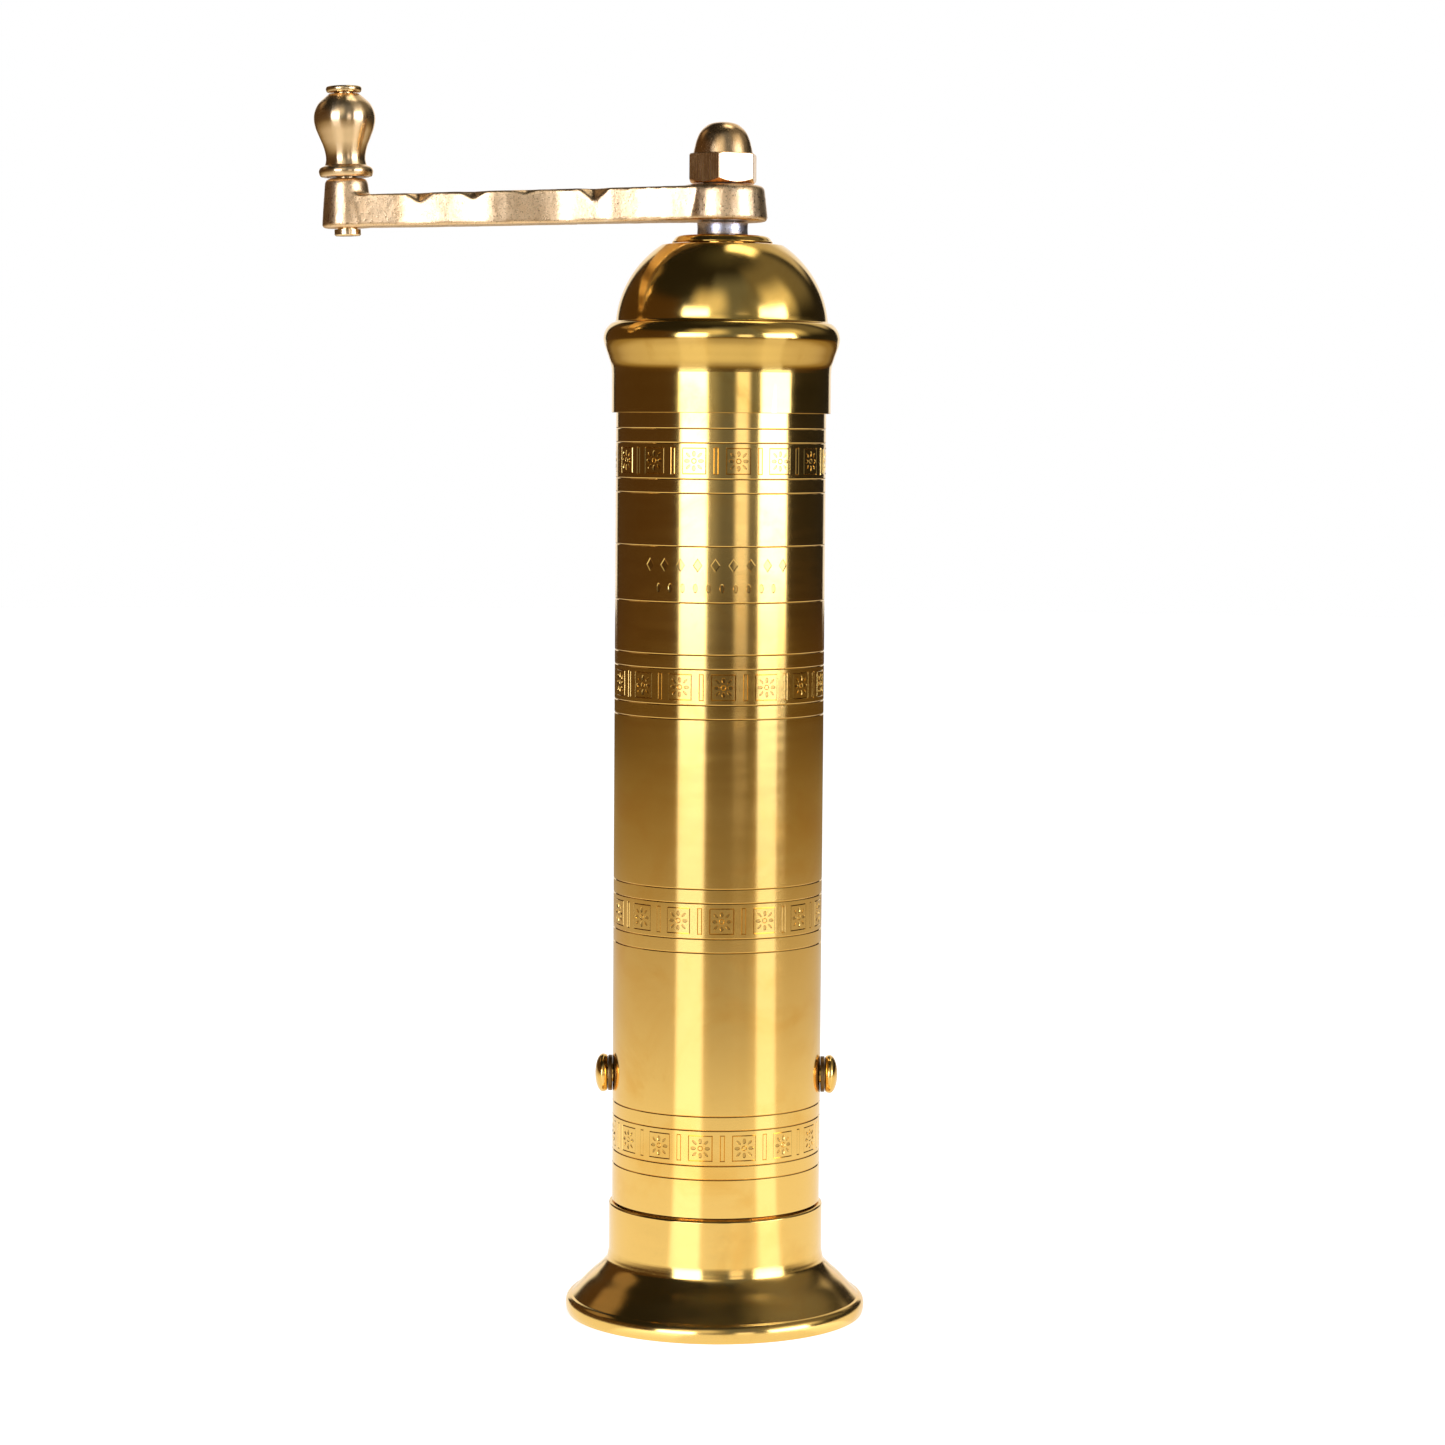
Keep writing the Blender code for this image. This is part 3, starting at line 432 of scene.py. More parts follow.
def new_finish(name, place=MILL):
    """A material with a metal shader. Returns the material, its tree, its shader and the piece's own
    coordinates."""
    made = bpy.data.materials.new(name)
    made.use_nodes = True
    tree = made.node_tree
    shader = tree.nodes["Principled BSDF"]
    shader.inputs["Metallic"].default_value = 1.0
    mapping = tree.nodes.new("ShaderNodeMapping")
    mapping.vector_type = "TEXTURE"
    mapping.inputs["Location"].default_value = place.translation
    mapping.inputs["Rotation"].default_value = place.to_euler()
    tree.links.new(tree.nodes.new("ShaderNodeTexCoord").outputs["Object"], mapping.inputs["Vector"])
    return made, tree, shader, mapping.outputs[0]


def lift(tree, shader, height, distance):
    bump = tree.nodes.new("ShaderNodeBump")
    bump.inputs["Strength"].default_value = 1.0
    bump.inputs["Distance"].default_value = distance
    feed(tree, height, bump.inputs["Height"])
    tree.links.new(bump.outputs[0], shader.inputs["Normal"])


def rgb(red, green, blue):
    return (red, green, blue, 1.0)


def turned_finish(
    name,
    colour,
    aged,
    roughness,
    anisotropy,
    place=MILL,
    fineness=4000.0,
    relief=0.0000012,
    ageing=0.5,
    rubbing=0.06,
    edges=0.35,
    cut=None,
):
    """Metal off the lathe: rings, hairline scratches, patches of tarnish and bright edges. Aged is the colour
    where it has tarnished, and cut gives the wall's radius and depth where an engraving holds dirt."""
    made, tree, shader, vector = new_finish(name, place)
    lines = place_effect(tree, LATHE_LINES, Vector=vector, Fineness=fineness)
    patches = place_effect(tree, BLOTCHES, Vector=vector, Scale=55.0, Low=0.46, High=0.72)["Mask"]
    spots = place_effect(tree, BLOTCHES, Vector=vector, Scale=420.0, Low=0.6, High=0.74)["Mask"]
    scratch = place_effect(tree, SCRATCHES, Vector=vector, Scale=700.0)["Mask"]
    wear_and_shade = place_effect(tree, EDGE_WEAR_AND_CORNER_SHADE, Amount=1.0)
    colour_now = mixed(tree, times(tree, patches, ageing), colour, aged)
    colour_now = mixed(tree, times(tree, spots, 0.35 * ageing), colour_now, aged)
    bright = tuple(0.5 + 0.5 * channel for channel in colour)
    colour_now = mixed(tree, times(tree, wear_and_shade["Edge"], edges), colour_now, bright)
    # Near black, used both for painted shade in inside corners and for the dirt held in the engraving
    dark = rgb(*(0.16 * channel for channel in aged[:3]))
    # Painted shade: inside corners darkened towards near black
    colour_now = mixed(tree, times(tree, wear_and_shade["Corner shade"], 0.25), colour_now, dark)
    if cut is not None:
        engraved = place_effect(tree, CUT_DEPTH, Vector=vector, Radius=cut[0], Depth=cut[1])["Mask"]
        colour_now = mixed(tree, times(tree, engraved, 0.26), colour_now, dark)
    tree.links.new(colour_now, shader.inputs["Base Color"])
    sheen = spread(tree, lines["Broad"], 0.3, 0.7, roughness - 0.35 * rubbing, roughness + 0.35 * rubbing)
    rough = maths(tree, "ADD", sheen, times(tree, patches, 0.6 * rubbing))
    rough = maths(tree, "ADD", rough, times(tree, scratch, 0.8 * rubbing))
    tree.links.new(rough, shader.inputs["Roughness"])
    shader.inputs["Anisotropic"].default_value = anisotropy
    shader.inputs["Anisotropic Rotation"].default_value = 0.25
    height = maths(tree, "SUBTRACT", lines["Fine"], times(tree, scratch, 0.8))
    lift(tree, shader, height, relief)
    return made


def cast_finish(name, colour, aged, roughness, scale=2600.0, depth=0.00003, speckles=0.4, waves=()):
    """Cast metal, tumbled but not machined. Its waves are swells of the surface along X: start, end, rise."""
    made, tree, shader, vector = new_finish(name)
    grain = place_effect(tree, CAST_GRAIN, Vector=vector, Scale=scale)
    patches = place_effect(tree, BLOTCHES, Vector=vector, Scale=130.0, Low=0.4, High=0.75)["Mask"]
    wear_and_shade = place_effect(tree, EDGE_WEAR_AND_CORNER_SHADE, Amount=1.0)
    colour_now = mixed(tree, times(tree, patches, 0.45), colour, aged)
    # Dark of the grain's pits, also used as painted shade in inside corners
    pit_and_shade = rgb(*(0.45 * channel for channel in aged[:3]))
    colour_now = mixed(tree, times(tree, grain["Speckle"], speckles), colour_now, pit_and_shade)
    colour_now = mixed(tree, times(tree, wear_and_shade["Edge"], 0.3), colour_now, rgb(0.95, 0.8, 0.62))
    # Painted shade: inside corners darkened towards the pit colour
    colour_now = mixed(tree, times(tree, wear_and_shade["Corner shade"], 0.4), colour_now, pit_and_shade)
    tree.links.new(colour_now, shader.inputs["Base Color"])
    rough = spread(tree, grain["Relief"], 0.35, 0.65, roughness + 0.06, roughness - 0.05)
    rough = maths(tree, "SUBTRACT", rough, times(tree, wear_and_shade["Edge"], 0.1))
    tree.links.new(rough, shader.inputs["Roughness"])
    height = times(tree, grain["Relief"], depth)
    x, _, _ = parts_of(tree, vector)
    for begin, end, rise in waves:
        height = maths(tree, "ADD", height, spread(tree, x, begin, end, 0.0, rise))
    lift(tree, shader, height, 1.0)
    return made


def drawn_finish(name, colour, aged, roughness):
    """Bar stock whose flats keep the upright streaks of the draw bench."""
    made, tree, shader, vector = new_finish(name)
    mapping = tree.nodes.new("ShaderNodeMapping")
    feed(tree, vector, mapping.inputs["Vector"])
    mapping.inputs["Scale"].default_value = (1.0, 1.0, 0.04)
    streaks = noise(tree, mapping.outputs[0], 3200.0, 3.0, 0.6)
    patches = place_effect(tree, BLOTCHES, Vector=vector, Scale=260.0, Low=0.45, High=0.7)["Mask"]
    wear_and_shade = place_effect(tree, EDGE_WEAR_AND_CORNER_SHADE, Amount=1.0)
    colour_now = mixed(tree, times(tree, patches, 0.2), colour, aged)
    colour_now = mixed(tree, spread(tree, streaks, 0.5, 0.75, 0.0, 0.3), colour_now, aged)
    colour_now = mixed(tree, times(tree, wear_and_shade["Edge"], 0.5), colour_now, rgb(1.0, 0.86, 0.7))
    tree.links.new(colour_now, shader.inputs["Base Color"])
    rough = spread(tree, streaks, 0.3, 0.7, roughness - 0.04, roughness + 0.06)
    tree.links.new(rough, shader.inputs["Roughness"])
    lift(tree, shader, streaks, 0.000003)
    return made


BRASS = rgb(0.93, 0.60, 0.175)
BRASS_AGED = rgb(0.86, 0.46, 0.08)
BRONZE = rgb(0.95, 0.66, 0.36)
BRONZE_AGED = rgb(0.80, 0.47, 0.20)
STEEL = rgb(0.58, 0.57, 0.56)
STEEL_AGED = rgb(0.30, 0.28, 0.27)
CUT = 0.12 * MM  # depth of the engraving

TUBE_BRASS = turned_finish(
    "engraved brass",
    BRASS,
    BRASS_AGED,
    0.125,
    0.5,
    relief=0.0000005,
    rubbing=0.04,
    edges=0.0,
    cut=(TUBE_R, CUT),
)
FOOT_BRASS = turned_finish(
    "polished foot brass", BRASS, BRASS_AGED, 0.15, 0.8, fineness=3000.0, relief=0.0000004
)
LID_BRASS = turned_finish(
    "polished lid brass",
    rgb(0.90, 0.58, 0.15),
    rgb(0.74, 0.42, 0.07),
    0.12,
    0.5,
    fineness=3000.0,
    relief=0.0000003,
)
KNOB_BRASS = turned_finish(
    "satin knob brass",
    rgb(0.94, 0.66, 0.35),
    rgb(0.80, 0.48, 0.18),
    0.23,
    0.85,
    KNOB,
    2600.0,
    0.000004,
    rubbing=0.1,
)
TRIM_BRASS = turned_finish("trim brass", BRASS, BRASS_AGED, 0.13, 0.3, relief=0.0000005)
# Near-black brass: painted shadow, for the ferrules under the side screws' heads
SHADOW_FERRULE_BRASS = turned_finish("brass darkened as painted shadow", rgb(0.2, 0.11, 0.03), rgb(0.1, 0.05, 0.012), 0.35, 0.2)
PIN_BRASS = turned_finish("pin brass", rgb(0.92, 0.66, 0.33), BRASS_AGED, 0.2, 0.5, KNOB)
# Swells of the arm's casting, from the mill's axis: start, end and rise
ARM_WAVES = (
    (-0.066, -0.046, 0.005),
    (-0.044, -0.036, -0.0006),
    (-0.034, -0.022, 0.003),
    (-0.018, -0.01, 0.001),
)
CAST_BRONZE = cast_finish("cast bronze", BRONZE, BRONZE_AGED, 0.31, 3400.0, 0.00006, 0.45, ARM_WAVES)
NUT_BRONZE = drawn_finish("nut bronze", rgb(0.92, 0.60, 0.29), rgb(0.76, 0.43, 0.16), 0.22)
TURNED_STEEL = turned_finish("turned steel", STEEL, STEEL_AGED, 0.28, 0.6, ageing=0.7)
SLEEVE_STEEL = cast_finish("dull zinc", rgb(0.62, 0.60, 0.62), rgb(0.18, 0.17, 0.20), 0.3, 3200.0, 0.00004)
BURR_STEEL = cast_finish("burr steel", rgb(0.34, 0.33, 0.33), rgb(0.16, 0.15, 0.14), 0.42, 1800.0, 0.00002)


# ---------------------------------------------------------------- the housing

GAP = 0.3 * MM
FOOT_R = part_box("foot")[1].x - MILL_X
FOOT_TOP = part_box("foot")[1].z
LEDGE_Z = TUBE_LOW.z - GAP
TUBE_WALL = 1.2 * MM
BORE_R = TUBE_R - TUBE_WALL


def make_foot():
    """Flared foot: a rolled rim, a hollow cone, a straight collar with a ledge, and a spigot up into the
    tube."""
    collar_r = TUBE_R + 0.6 * MM
    spigot_r = BORE_R - GAP
    inside_r = spigot_r - TUBE_WALL
    turn_z = LEDGE_Z - 9.7 * MM
    reach = FOOT_R - collar_r
    cone = smooth(
        [
            (collar_r, turn_z),
            (collar_r + 0.06 * MM, turn_z - 0.6 * MM),
            (collar_r + 0.24 * MM, turn_z - 1.6 * MM),
            (collar_r + 0.62 * MM, turn_z - 2.7 * MM),
            (collar_r + 0.24 * reach, turn_z - 4.4 * MM),
            (collar_r + 0.48 * reach, turn_z - 6.3 * MM),
            (collar_r + 0.72 * reach, turn_z - 8.5 * MM),
            (FOOT_R - 1.2 * MM, turn_z - 9.75 * MM),
        ],
        6,
    )
    lip = smooth(
        [
            (FOOT_R - 0.85 * MM, turn_z - 9.85 * MM),
            (FOOT_R - 0.3 * MM, turn_z - 10.4 * MM),
            (FOOT_R, turn_z - 11.3 * MM),
            (FOOT_R - 0.05 * MM, 0.9 * MM),
            (FOOT_R - 0.35 * MM, 0.0),
        ],
        5,
    )
    under = smooth(
        [
            (FOOT_R - 2.4 * MM, 1.5 * MM),
            (collar_r + 0.3 * reach, turn_z - 6.0 * MM),
            (inside_r, turn_z),
        ],
        6,
    )
    outline = [
        (spigot_r, FOOT_TOP),
        (spigot_r, LEDGE_Z),
        (collar_r - 0.35 * MM, LEDGE_Z),
        (collar_r, LEDGE_Z - 0.3 * MM),
        *cone,
        *lip,
        (FOOT_R - 2.4 * MM, 0.0),
        *under,
        (inside_r, FOOT_TOP),
    ]
    foot = turned("foot_turned", outline)
    settle(foot, 28)
    dress(foot, "housing", "brass_body", FOOT_BRASS, "foot")


# The tube's engraving. Heights are above the tube's lower end, and turns are from the front towards +X.
COLUMNS = 300  # flats round the tube; the motifs' edges fall between two of them
COLUMN = FULL_TURN / COLUMNS
COLUMN_W = TUBE_R * COLUMN
BANDS = ((153.0 * MM, 8), (107.8 * MM, 2), (60.7 * MM, 2), (14.5 * MM, -7))  # middle, and turn in columns
BAND_HALF = 3.1 * MM  # half the height of a band's cells
BAND_LINES = (3.6 * MM, 6.45 * MM)  # lines above and below a band's middle
PLATE = (125.2 * MM, 135.2 * MM)  # the ornament plate, where a maker would sign
PLATE_LINES = (124.7 * MM, 135.95 * MM)
PLATE_FIRST = -38
PLATE_COLUMNS = 72
LINE_HALF = 0.17 * MM
PROUD = 0.02 * MM  # how far a cutter starts outside the face
CELLS = 15
CELL_COLUMNS = COLUMNS // CELLS
CELL_FIRST = -8  # a cell's left edge, in columns from the middle of its rosette


def groove(width, height, cut=0.26 * MM, sides=4):
    """Cutter for a V groove along the outline of a rectangle, or of an oval with more sides, in the plane
    Y = 0."""
    deselect()
    radius = 0.5 * math.sqrt(2) if sides == 4 else 0.5
    turn = math.pi / 4 if sides == 4 else 0.0
    bpy.ops.mesh.primitive_circle_add(
        vertices=sides,
        radius=radius,
        fill_type="NGON",
        location=(0.0, -PROUD, 0.0),
        rotation=(math.pi / 2, turn, 0.0),
    )
    piece = bpy.context.active_object
    bpy.ops.object.transform_apply(location=True, rotation=True)
    piece.data.transform(Matrix.Diagonal((width + cut, 1.0, height + cut, 1.0)))
    bpy.ops.object.mode_set(mode="EDIT")
    bpy.ops.mesh.select_all(action="SELECT")
    for depth in (-CUT - PROUD, CUT + PROUD):
        bpy.ops.mesh.inset(thickness=cut / 2, depth=depth)
    bpy.ops.mesh.delete(type="ONLY_FACE")
    bpy.ops.mesh.select_all(action="DESELECT")
    bpy.ops.mesh.select_non_manifold()
    bpy.ops.mesh.bridge_edge_loops()
    bpy.ops.object.mode_set(mode="OBJECT")
    clean(piece)
    return piece


def dimple(x, z, width, height, turn, sides=8):
    """Cutter for an oval recess with sloping walls and a flat floor."""
    deselect()
    bpy.ops.mesh.primitive_cone_add(
        vertices=sides, radius1=0.34, radius2=0.5, depth=2 * CUT, rotation=(math.pi / 2, 0, 0)
    )
    piece = bpy.context.active_object
    bpy.ops.object.transform_apply(rotation=True)
    size = Matrix.Diagonal((width, 1.0, height, 1.0))
    piece.data.transform(Matrix.Translation((x, 0.0, z)) @ Matrix.Rotation(turn, 4, "Y") @ size)
    return piece


def rosette():
    """Cutters for one motif: a square, a ring with eight petals, and an upright bar between this square and
    the next."""
    cutters = [groove(4.84 * MM, 5.1 * MM), groove(0.95 * MM, 0.95 * MM, 0.2 * MM, 12)]
    link = groove(0.8 * MM, 5.2 * MM, 0.24 * MM)
    link.data.transform(Matrix.Translation((CELL_COLUMNS / 2 * COLUMN_W, 0.0, 0.0)))
    cutters.append(link)
    for petal in range(8):
        turn = petal * math.pi / 4
        slim = petal % 2
        reach = 1.68 * MM if slim else 1.45 * MM
        width, length = (0.62 * MM, 1.45 * MM) if slim else (0.9 * MM, 1.4 * MM)
        cutters.append(dimple(reach * math.sin(turn), reach * math.cos(turn), width, length, turn))
    return join(cutters)


def plate_ornament(lozenges, pearls):
    """Cutters for a stretch of the plate: lozenges over a row of pearls, by their places along it."""
    cutters = []
    for x in lozenges:
        cutters.append(dimple(x, 2.0 * MM, 2.3 * MM, 3.3 * MM, 0.0, 4))
    for x in pearls:
        cutters.append(dimple(x, -2.6 * MM, 1.15 * MM, 2.3 * MM, 0.0, 10))
    return join(cutters)


def engraved_strip(cutter, first, columns, half, copies=1):
    """A flat strip of the tube's outer face, in its own columns, cut and then repeated along X."""
    low = first * COLUMN_W
    high = (first + columns) * COLUMN_W
    deselect()
    bpy.ops.mesh.primitive_cube_add(
        size=1.0, location=((low + high) / 2, MM / 2, 0.0), scale=(high - low, MM, 2 * half)
    )
    strip = bpy.context.active_object
    bpy.ops.object.transform_apply(location=True, scale=True)
    combine(strip, cutter, "DIFFERENCE")
    start(strip)
    bpy.ops.object.mode_set(mode="EDIT")
    for column in range(1, columns):
        bpy.ops.mesh.select_all(action="SELECT")
        bpy.ops.mesh.bisect(plane_co=(low + column * COLUMN_W, 0.0, 0.0), plane_no=(1.0, 0.0, 0.0))
    bpy.ops.object.mode_set(mode="OBJECT")

    def is_side(face):
        x, y, z = face.center
        edge = min(abs(x - low), abs(x - high), half - abs(z))
        return edge < 10 * JOIN or y > MM / 2 - JOIN

    remove_faces(strip, is_side)
    if copies > 1:
        array = strip.modifiers.new("Round the tube", "ARRAY")
        array.use_relative_offset = False
        array.use_constant_offset = True
        array.constant_offset_displace = (high - low, 0.0, 0.0)
        array.count = copies
        bpy.ops.object.modifier_apply(modifier=array.name)
    return strip


def wrap(strip, height, turn):
    """Lays a flat strip round the tube: X becomes the turn from the front, and Y the depth."""
    for vertex in strip.data.vertices:
        x, y, z = vertex.co
        angle = x / TUBE_R + turn * COLUMN
        radius = TUBE_R - y
        vertex.co = (MILL_X + radius * math.sin(angle), -radius * math.cos(angle), TUBE_LOW.z + height + z)
    return strip


def tube_outline():
    """The tube's wall with its turned lines, and a plain step where each engraved strip goes in."""
    lines = [height + side * offset for height, _ in BANDS for offset in BAND_LINES for side in (1, -1)]
    lines += PLATE_LINES
    stops = [(height + side * BAND_HALF, "edge") for height, _ in BANDS for side in (1, -1)]
    stops += [(height, "edge") for height in PLATE] + [(height, "line") for height in lines]
    outside = [(TUBE_R - 0.25 * MM, TUBE_HIGH.z), (TUBE_R, TUBE_HIGH.z - 0.2 * MM)]
    for height, kind in sorted(stops, reverse=True):
        z = TUBE_LOW.z + height
        if kind == "line":
            outside += [(TUBE_R, z + LINE_HALF), (TUBE_R - CUT, z), (TUBE_R, z - LINE_HALF)]
        else:
            outside.append((TUBE_R, z))
    outside += [(TUBE_R, TUBE_LOW.z + 0.2 * MM), (TUBE_R - 0.25 * MM, TUBE_LOW.z)]
    return [*outside, (BORE_R, TUBE_LOW.z), (BORE_R, TUBE_HIGH.z)]


def turn_of(point):
    """Turn of a point from the front towards +X, in columns."""
    return math.atan2(point.x - MILL_X, -point.y) / COLUMN


def is_engraved(face):
    """Whether an engraved strip stands in for a plain face of the tube."""
    outside = Vector((face.center.x - MILL_X, face.center.y)).length > TUBE_R - 0.02 * MM
    height = face.center.z - TUBE_LOW.z
    in_band = any(abs(height - middle_z) < BAND_HALF for middle_z, _ in BANDS)
    in_plate = PLATE[0] < height < PLATE[1] and 0 < turn_of(face.center) - PLATE_FIRST < PLATE_COLUMNS
    return outside and (in_band or in_plate)


def round_normals(piece):
    """Gives the turned faces of a piece normals that follow the true circle, and leaves the cut ones as they
    are."""
    mesh = piece.data
    normals = []
    for face in mesh.polygons:
        flat = Vector((face.normal.x, face.normal.y, 0.0))
        outward = Vector((face.center.x - MILL_X, face.center.y, 0.0)).normalized()
        side = 1 if flat.dot(outward) > 0 else -1
        is_round = flat.length < 0.001 or abs(flat.normalized().dot(outward)) > math.cos(math.radians(1.5))
        for corner in face.loop_indices:
            point = mesh.vertices[mesh.loops[corner].vertex_index].co
            across = Vector((point.x - MILL_X, point.y, 0.0)).normalized() * flat.length * side
            fitted = (across + Vector((0.0, 0.0, face.normal.z))).normalized()
            normals.append(fitted if is_round else mesh.corner_normals[corner].vector.copy())
    mesh.normals_split_custom_set(normals)


def make_body_tube():
    """The tube: turned lines, four bands of rosettes and an ornament plate, all cut into its wall."""
    tube = turned("body_tube_engraved", tube_outline(), segments=COLUMNS, edge=0.0)
    low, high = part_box("side_screw_left")
    shank_z = (low.z + high.z) / 2
    across = Matrix.Translation((MILL_X, 0.0, shank_z)) @ Matrix.Rotation(math.pi / 2, 4, "Y")
    combine(tube, bar("shank_holes", SHANK_R + GAP, -1.1 * TUBE_R, 1.1 * TUBE_R, across), "DIFFERENCE")
    remove_faces(tube, is_engraved)
    pieces = [tube]
    band = engraved_strip(rosette(), CELL_FIRST, CELL_COLUMNS, BAND_HALF, CELLS)
    for height, turn in BANDS:
        copy = bpy.data.objects.new("band", band.data.copy())
        bpy.context.scene.collection.objects.link(copy)
        pieces.append(wrap(copy, height, turn))
    bpy.data.objects.remove(band)
    third = PLATE_COLUMNS // 3
    width = third * COLUMN_W
    for place in range(3):
        lozenges = [(i + 0.5) / 3 * width for i in range(3)]
        pearls = [(i + 0.5) / 4 * width for i in range(4)]
        pearls = pearls[1:] if place == 0 else pearls[:-1] if place == 2 else pearls
        strip = engraved_strip(plate_ornament(lozenges, pearls), 0, third, (PLATE[1] - PLATE[0]) / 2)
        pieces.append(wrap(strip, sum(PLATE) / 2, PLATE_FIRST + place * third))
    tube = join(pieces)
    clean(tube)
    settle(tube, 12)
    round_normals(tube)
    dress(tube, "housing", "brass_body", TUBE_BRASS, "body_tube")


SHANK_R = 1.9 * MM
FERRULE_R = 3.7 * MM


def make_side_screws():
    """Two mushroom-headed screws and the ferrules that fill the gap under their heads."""
    head_r = 3.95 * MM
    head_t = 2.6 * MM
    for name, side in (("left", -1), ("right", 1)):
        low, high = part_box(f"side_screw_{name}")
        far = max(abs(low.x - MILL_X), abs(high.x - MILL_X))
        tip = min(abs(low.x - MILL_X), abs(high.x - MILL_X))
        seat = far - head_t
        rim = seat + 1.0 * MM
        centre = Matrix.Translation((MILL_X, 0.0, (low.z + high.z) / 2))
        place = centre @ Matrix.Rotation(side * math.pi / 2, 4, "Y")
        outline = [
            *arc((0.0, rim), (head_r, far - rim), 90, 0, 16),
            *arc((head_r - 0.7 * MM, rim), (0.7 * MM, rim - seat), -15, -90, 6),
            (SHANK_R, seat),
            (SHANK_R, tip + 0.4 * MM),
            (SHANK_R - 0.4 * MM, tip),
            (0.0, tip),
        ]
        screw = turned(f"side_screw_{name}_turned", outline, place, SEGMENTS_SMALL, bored=False, edge=0.0)
        dress(settle(screw), "housing", "brass_trim", TRIM_BRASS, f"side_screw_{name}")
        ring_low = TUBE_R + 0.1 * MM
        ring_high = seat - 0.1 * MM
        ring_bore = SHANK_R + GAP
        ring = [(FERRULE_R, ring_high), (FERRULE_R, ring_low), (ring_bore, ring_low), (ring_bore, ring_high)]
        ferrule = turned(f"side_ferrule_{name}_turned", ring, place, SEGMENTS_SMALL, edge=0.1 * MM)
        # The ferrule is coloured near black as painted shadow under the screw's head
        dress(settle(ferrule), "housing", "brass_trim", SHADOW_FERRULE_BRASS, f"side_ferrule_{name}")


# ---------------------------------------------------------------- the lid

HEM_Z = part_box("lid_shell")[0].z
DOME_TOP_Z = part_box("lid_shell")[1].z
BEAD_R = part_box("lid_shell")[1].x - MILL_X
LID_SEAT_Z = TUBE_HIGH.z + GAP
BEAD_Z = LID_SEAT_Z + 3.0 * MM
SKIRT_R = TUBE_R + 0.9 * MM
DOME_R = SKIRT_R - 0.7 * MM
DOME_Z = LID_SEAT_Z + 4.7 * MM
DOME_SEMI_H = 20.85 * MM
LID_WALL = 1.2 * MM
SHAFT_BORE_R = 4.3 * MM
BUSH_R = SHAFT_BORE_R + 2.4 * MM


def dome_line(shrink, last, count):
    """The dome's ellipse from the flat on top down to an angle, taken in by a wall."""
    radii = (DOME_R - shrink, DOME_SEMI_H - shrink)
    first = math.degrees(math.asin((DOME_TOP_Z - DOME_Z - shrink) / radii[1]))
    return arc((0.0, DOME_Z), radii, first, last, count)


def make_lid_shell():
    """Spun lid: a dome, a cove, a fat bead, and a skirt that slides over the tube."""
    hole_r = BUSH_R + GAP
    bead = smooth(
        [
            (DOME_R - 0.08 * MM, DOME_Z + 1.9 * MM),
            (DOME_R + 0.12 * MM, BEAD_Z + 3.15 * MM),
            (DOME_R + 1.0 * MM, BEAD_Z + 2.75 * MM),
            (BEAD_R - 0.45 * MM, BEAD_Z + 1.55 * MM),
            (BEAD_R, BEAD_Z),
            (BEAD_R - 0.22 * MM, BEAD_Z - 1.5 * MM),
            (SKIRT_R + 0.8 * MM, BEAD_Z - 3.7 * MM),
            (SKIRT_R + 0.16 * MM, BEAD_Z - 5.7 * MM),
            (SKIRT_R, BEAD_Z - 7.3 * MM),
        ],
        6,
    )
    outline = [
        (hole_r, DOME_TOP_Z),
        *dome_line(0.0, 7, 40),
        *bead,
        (SKIRT_R, HEM_Z),
        (TUBE_R + GAP, HEM_Z),
        (TUBE_R + GAP, LID_SEAT_Z),
        (TUBE_R - TUBE_WALL / 2, LID_SEAT_Z),
        *reversed(dome_line(LID_WALL, 2, 20)),
        (hole_r, DOME_TOP_Z - LID_WALL),
    ]
    shell = turned("lid_shell_spun", outline, edge=0.1 * MM)
    settle(shell, 40)
    dress(shell, "lid", "brass_lid", LID_BRASS, "lid_shell")


def make_lid_bush():
    """Flanged bush in the top of the lid, and its nut under the dome."""
    low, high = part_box("lid_bush")
    flange_r = high.x - MILL_X
    flange_z = DOME_TOP_Z + GAP
    flank = smooth(
        [
            (flange_r - 1.35 * MM, high.z),
            (flange_r - 0.75 * MM, high.z - 0.3 * MM),
            (flange_r - 0.15 * MM, flange_z + 0.45 * MM),
            (flange_r, flange_z + 0.25 * MM),
            (flange_r - 0.15 * MM, flange_z),
        ],
        5,
    )
    outline = [
        (SHAFT_BORE_R + 1.6 * MM, high.z),
        *flank,
        (BUSH_R, flange_z),
        (BUSH_R, low.z),
        (SHAFT_BORE_R, low.z),
        (SHAFT_BORE_R, high.z - 0.25 * MM),
        (SHAFT_BORE_R + 0.25 * MM, high.z),
    ]
    bush = turned("lid_bush_turned", outline, segments=SEGMENTS_SMALL, edge=0.06 * MM)
    dress(settle(bush), "lid", "brass_lid", LID_BRASS, "lid_bush")
    nut = settle(refined("lid_bush_nut", 0.3 * MM))
    dress(nut, "lid", "brass_trim", TRIM_BRASS, "lid_bush_nut")


# ---------------------------------------------------------------- the crank

NUT_LOW, NUT_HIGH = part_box("cap_nut")
NUT_FLATS = 13.0 * MM
NUT_TURN = math.radians(-5.6)  # how the spanner left it


def make_crank_arm():
    """The casting: the CAD arm with its edges melted together, and the unevenness of a sand mould."""
    arm = refined("crank_arm", 0.0)
    melt = arm.modifiers.new("Melt", "REMESH")
    melt.mode = "VOXEL"
    melt.voxel_size = 0.36 * MM
    melt.use_smooth_shade = True
    even = arm.modifiers.new("Even", "SMOOTH")
    even.factor = 0.5
    even.iterations = 6
    sand = bpy.data.textures.new("sand mould", "CLOUDS")
    sand.noise_scale = 2.6 * MM
    sand.noise_depth = 3
    uneven = arm.modifiers.new("Uneven", "DISPLACE")
    uneven.texture = sand
    uneven.texture_coords = "LOCAL"
    uneven.strength = 0.08 * MM
    uneven.mid_level = 0.5
    settle(arm, 80)
    dress(arm, "crank", "cast_bronze", CAST_BRONZE, "crank_arm")


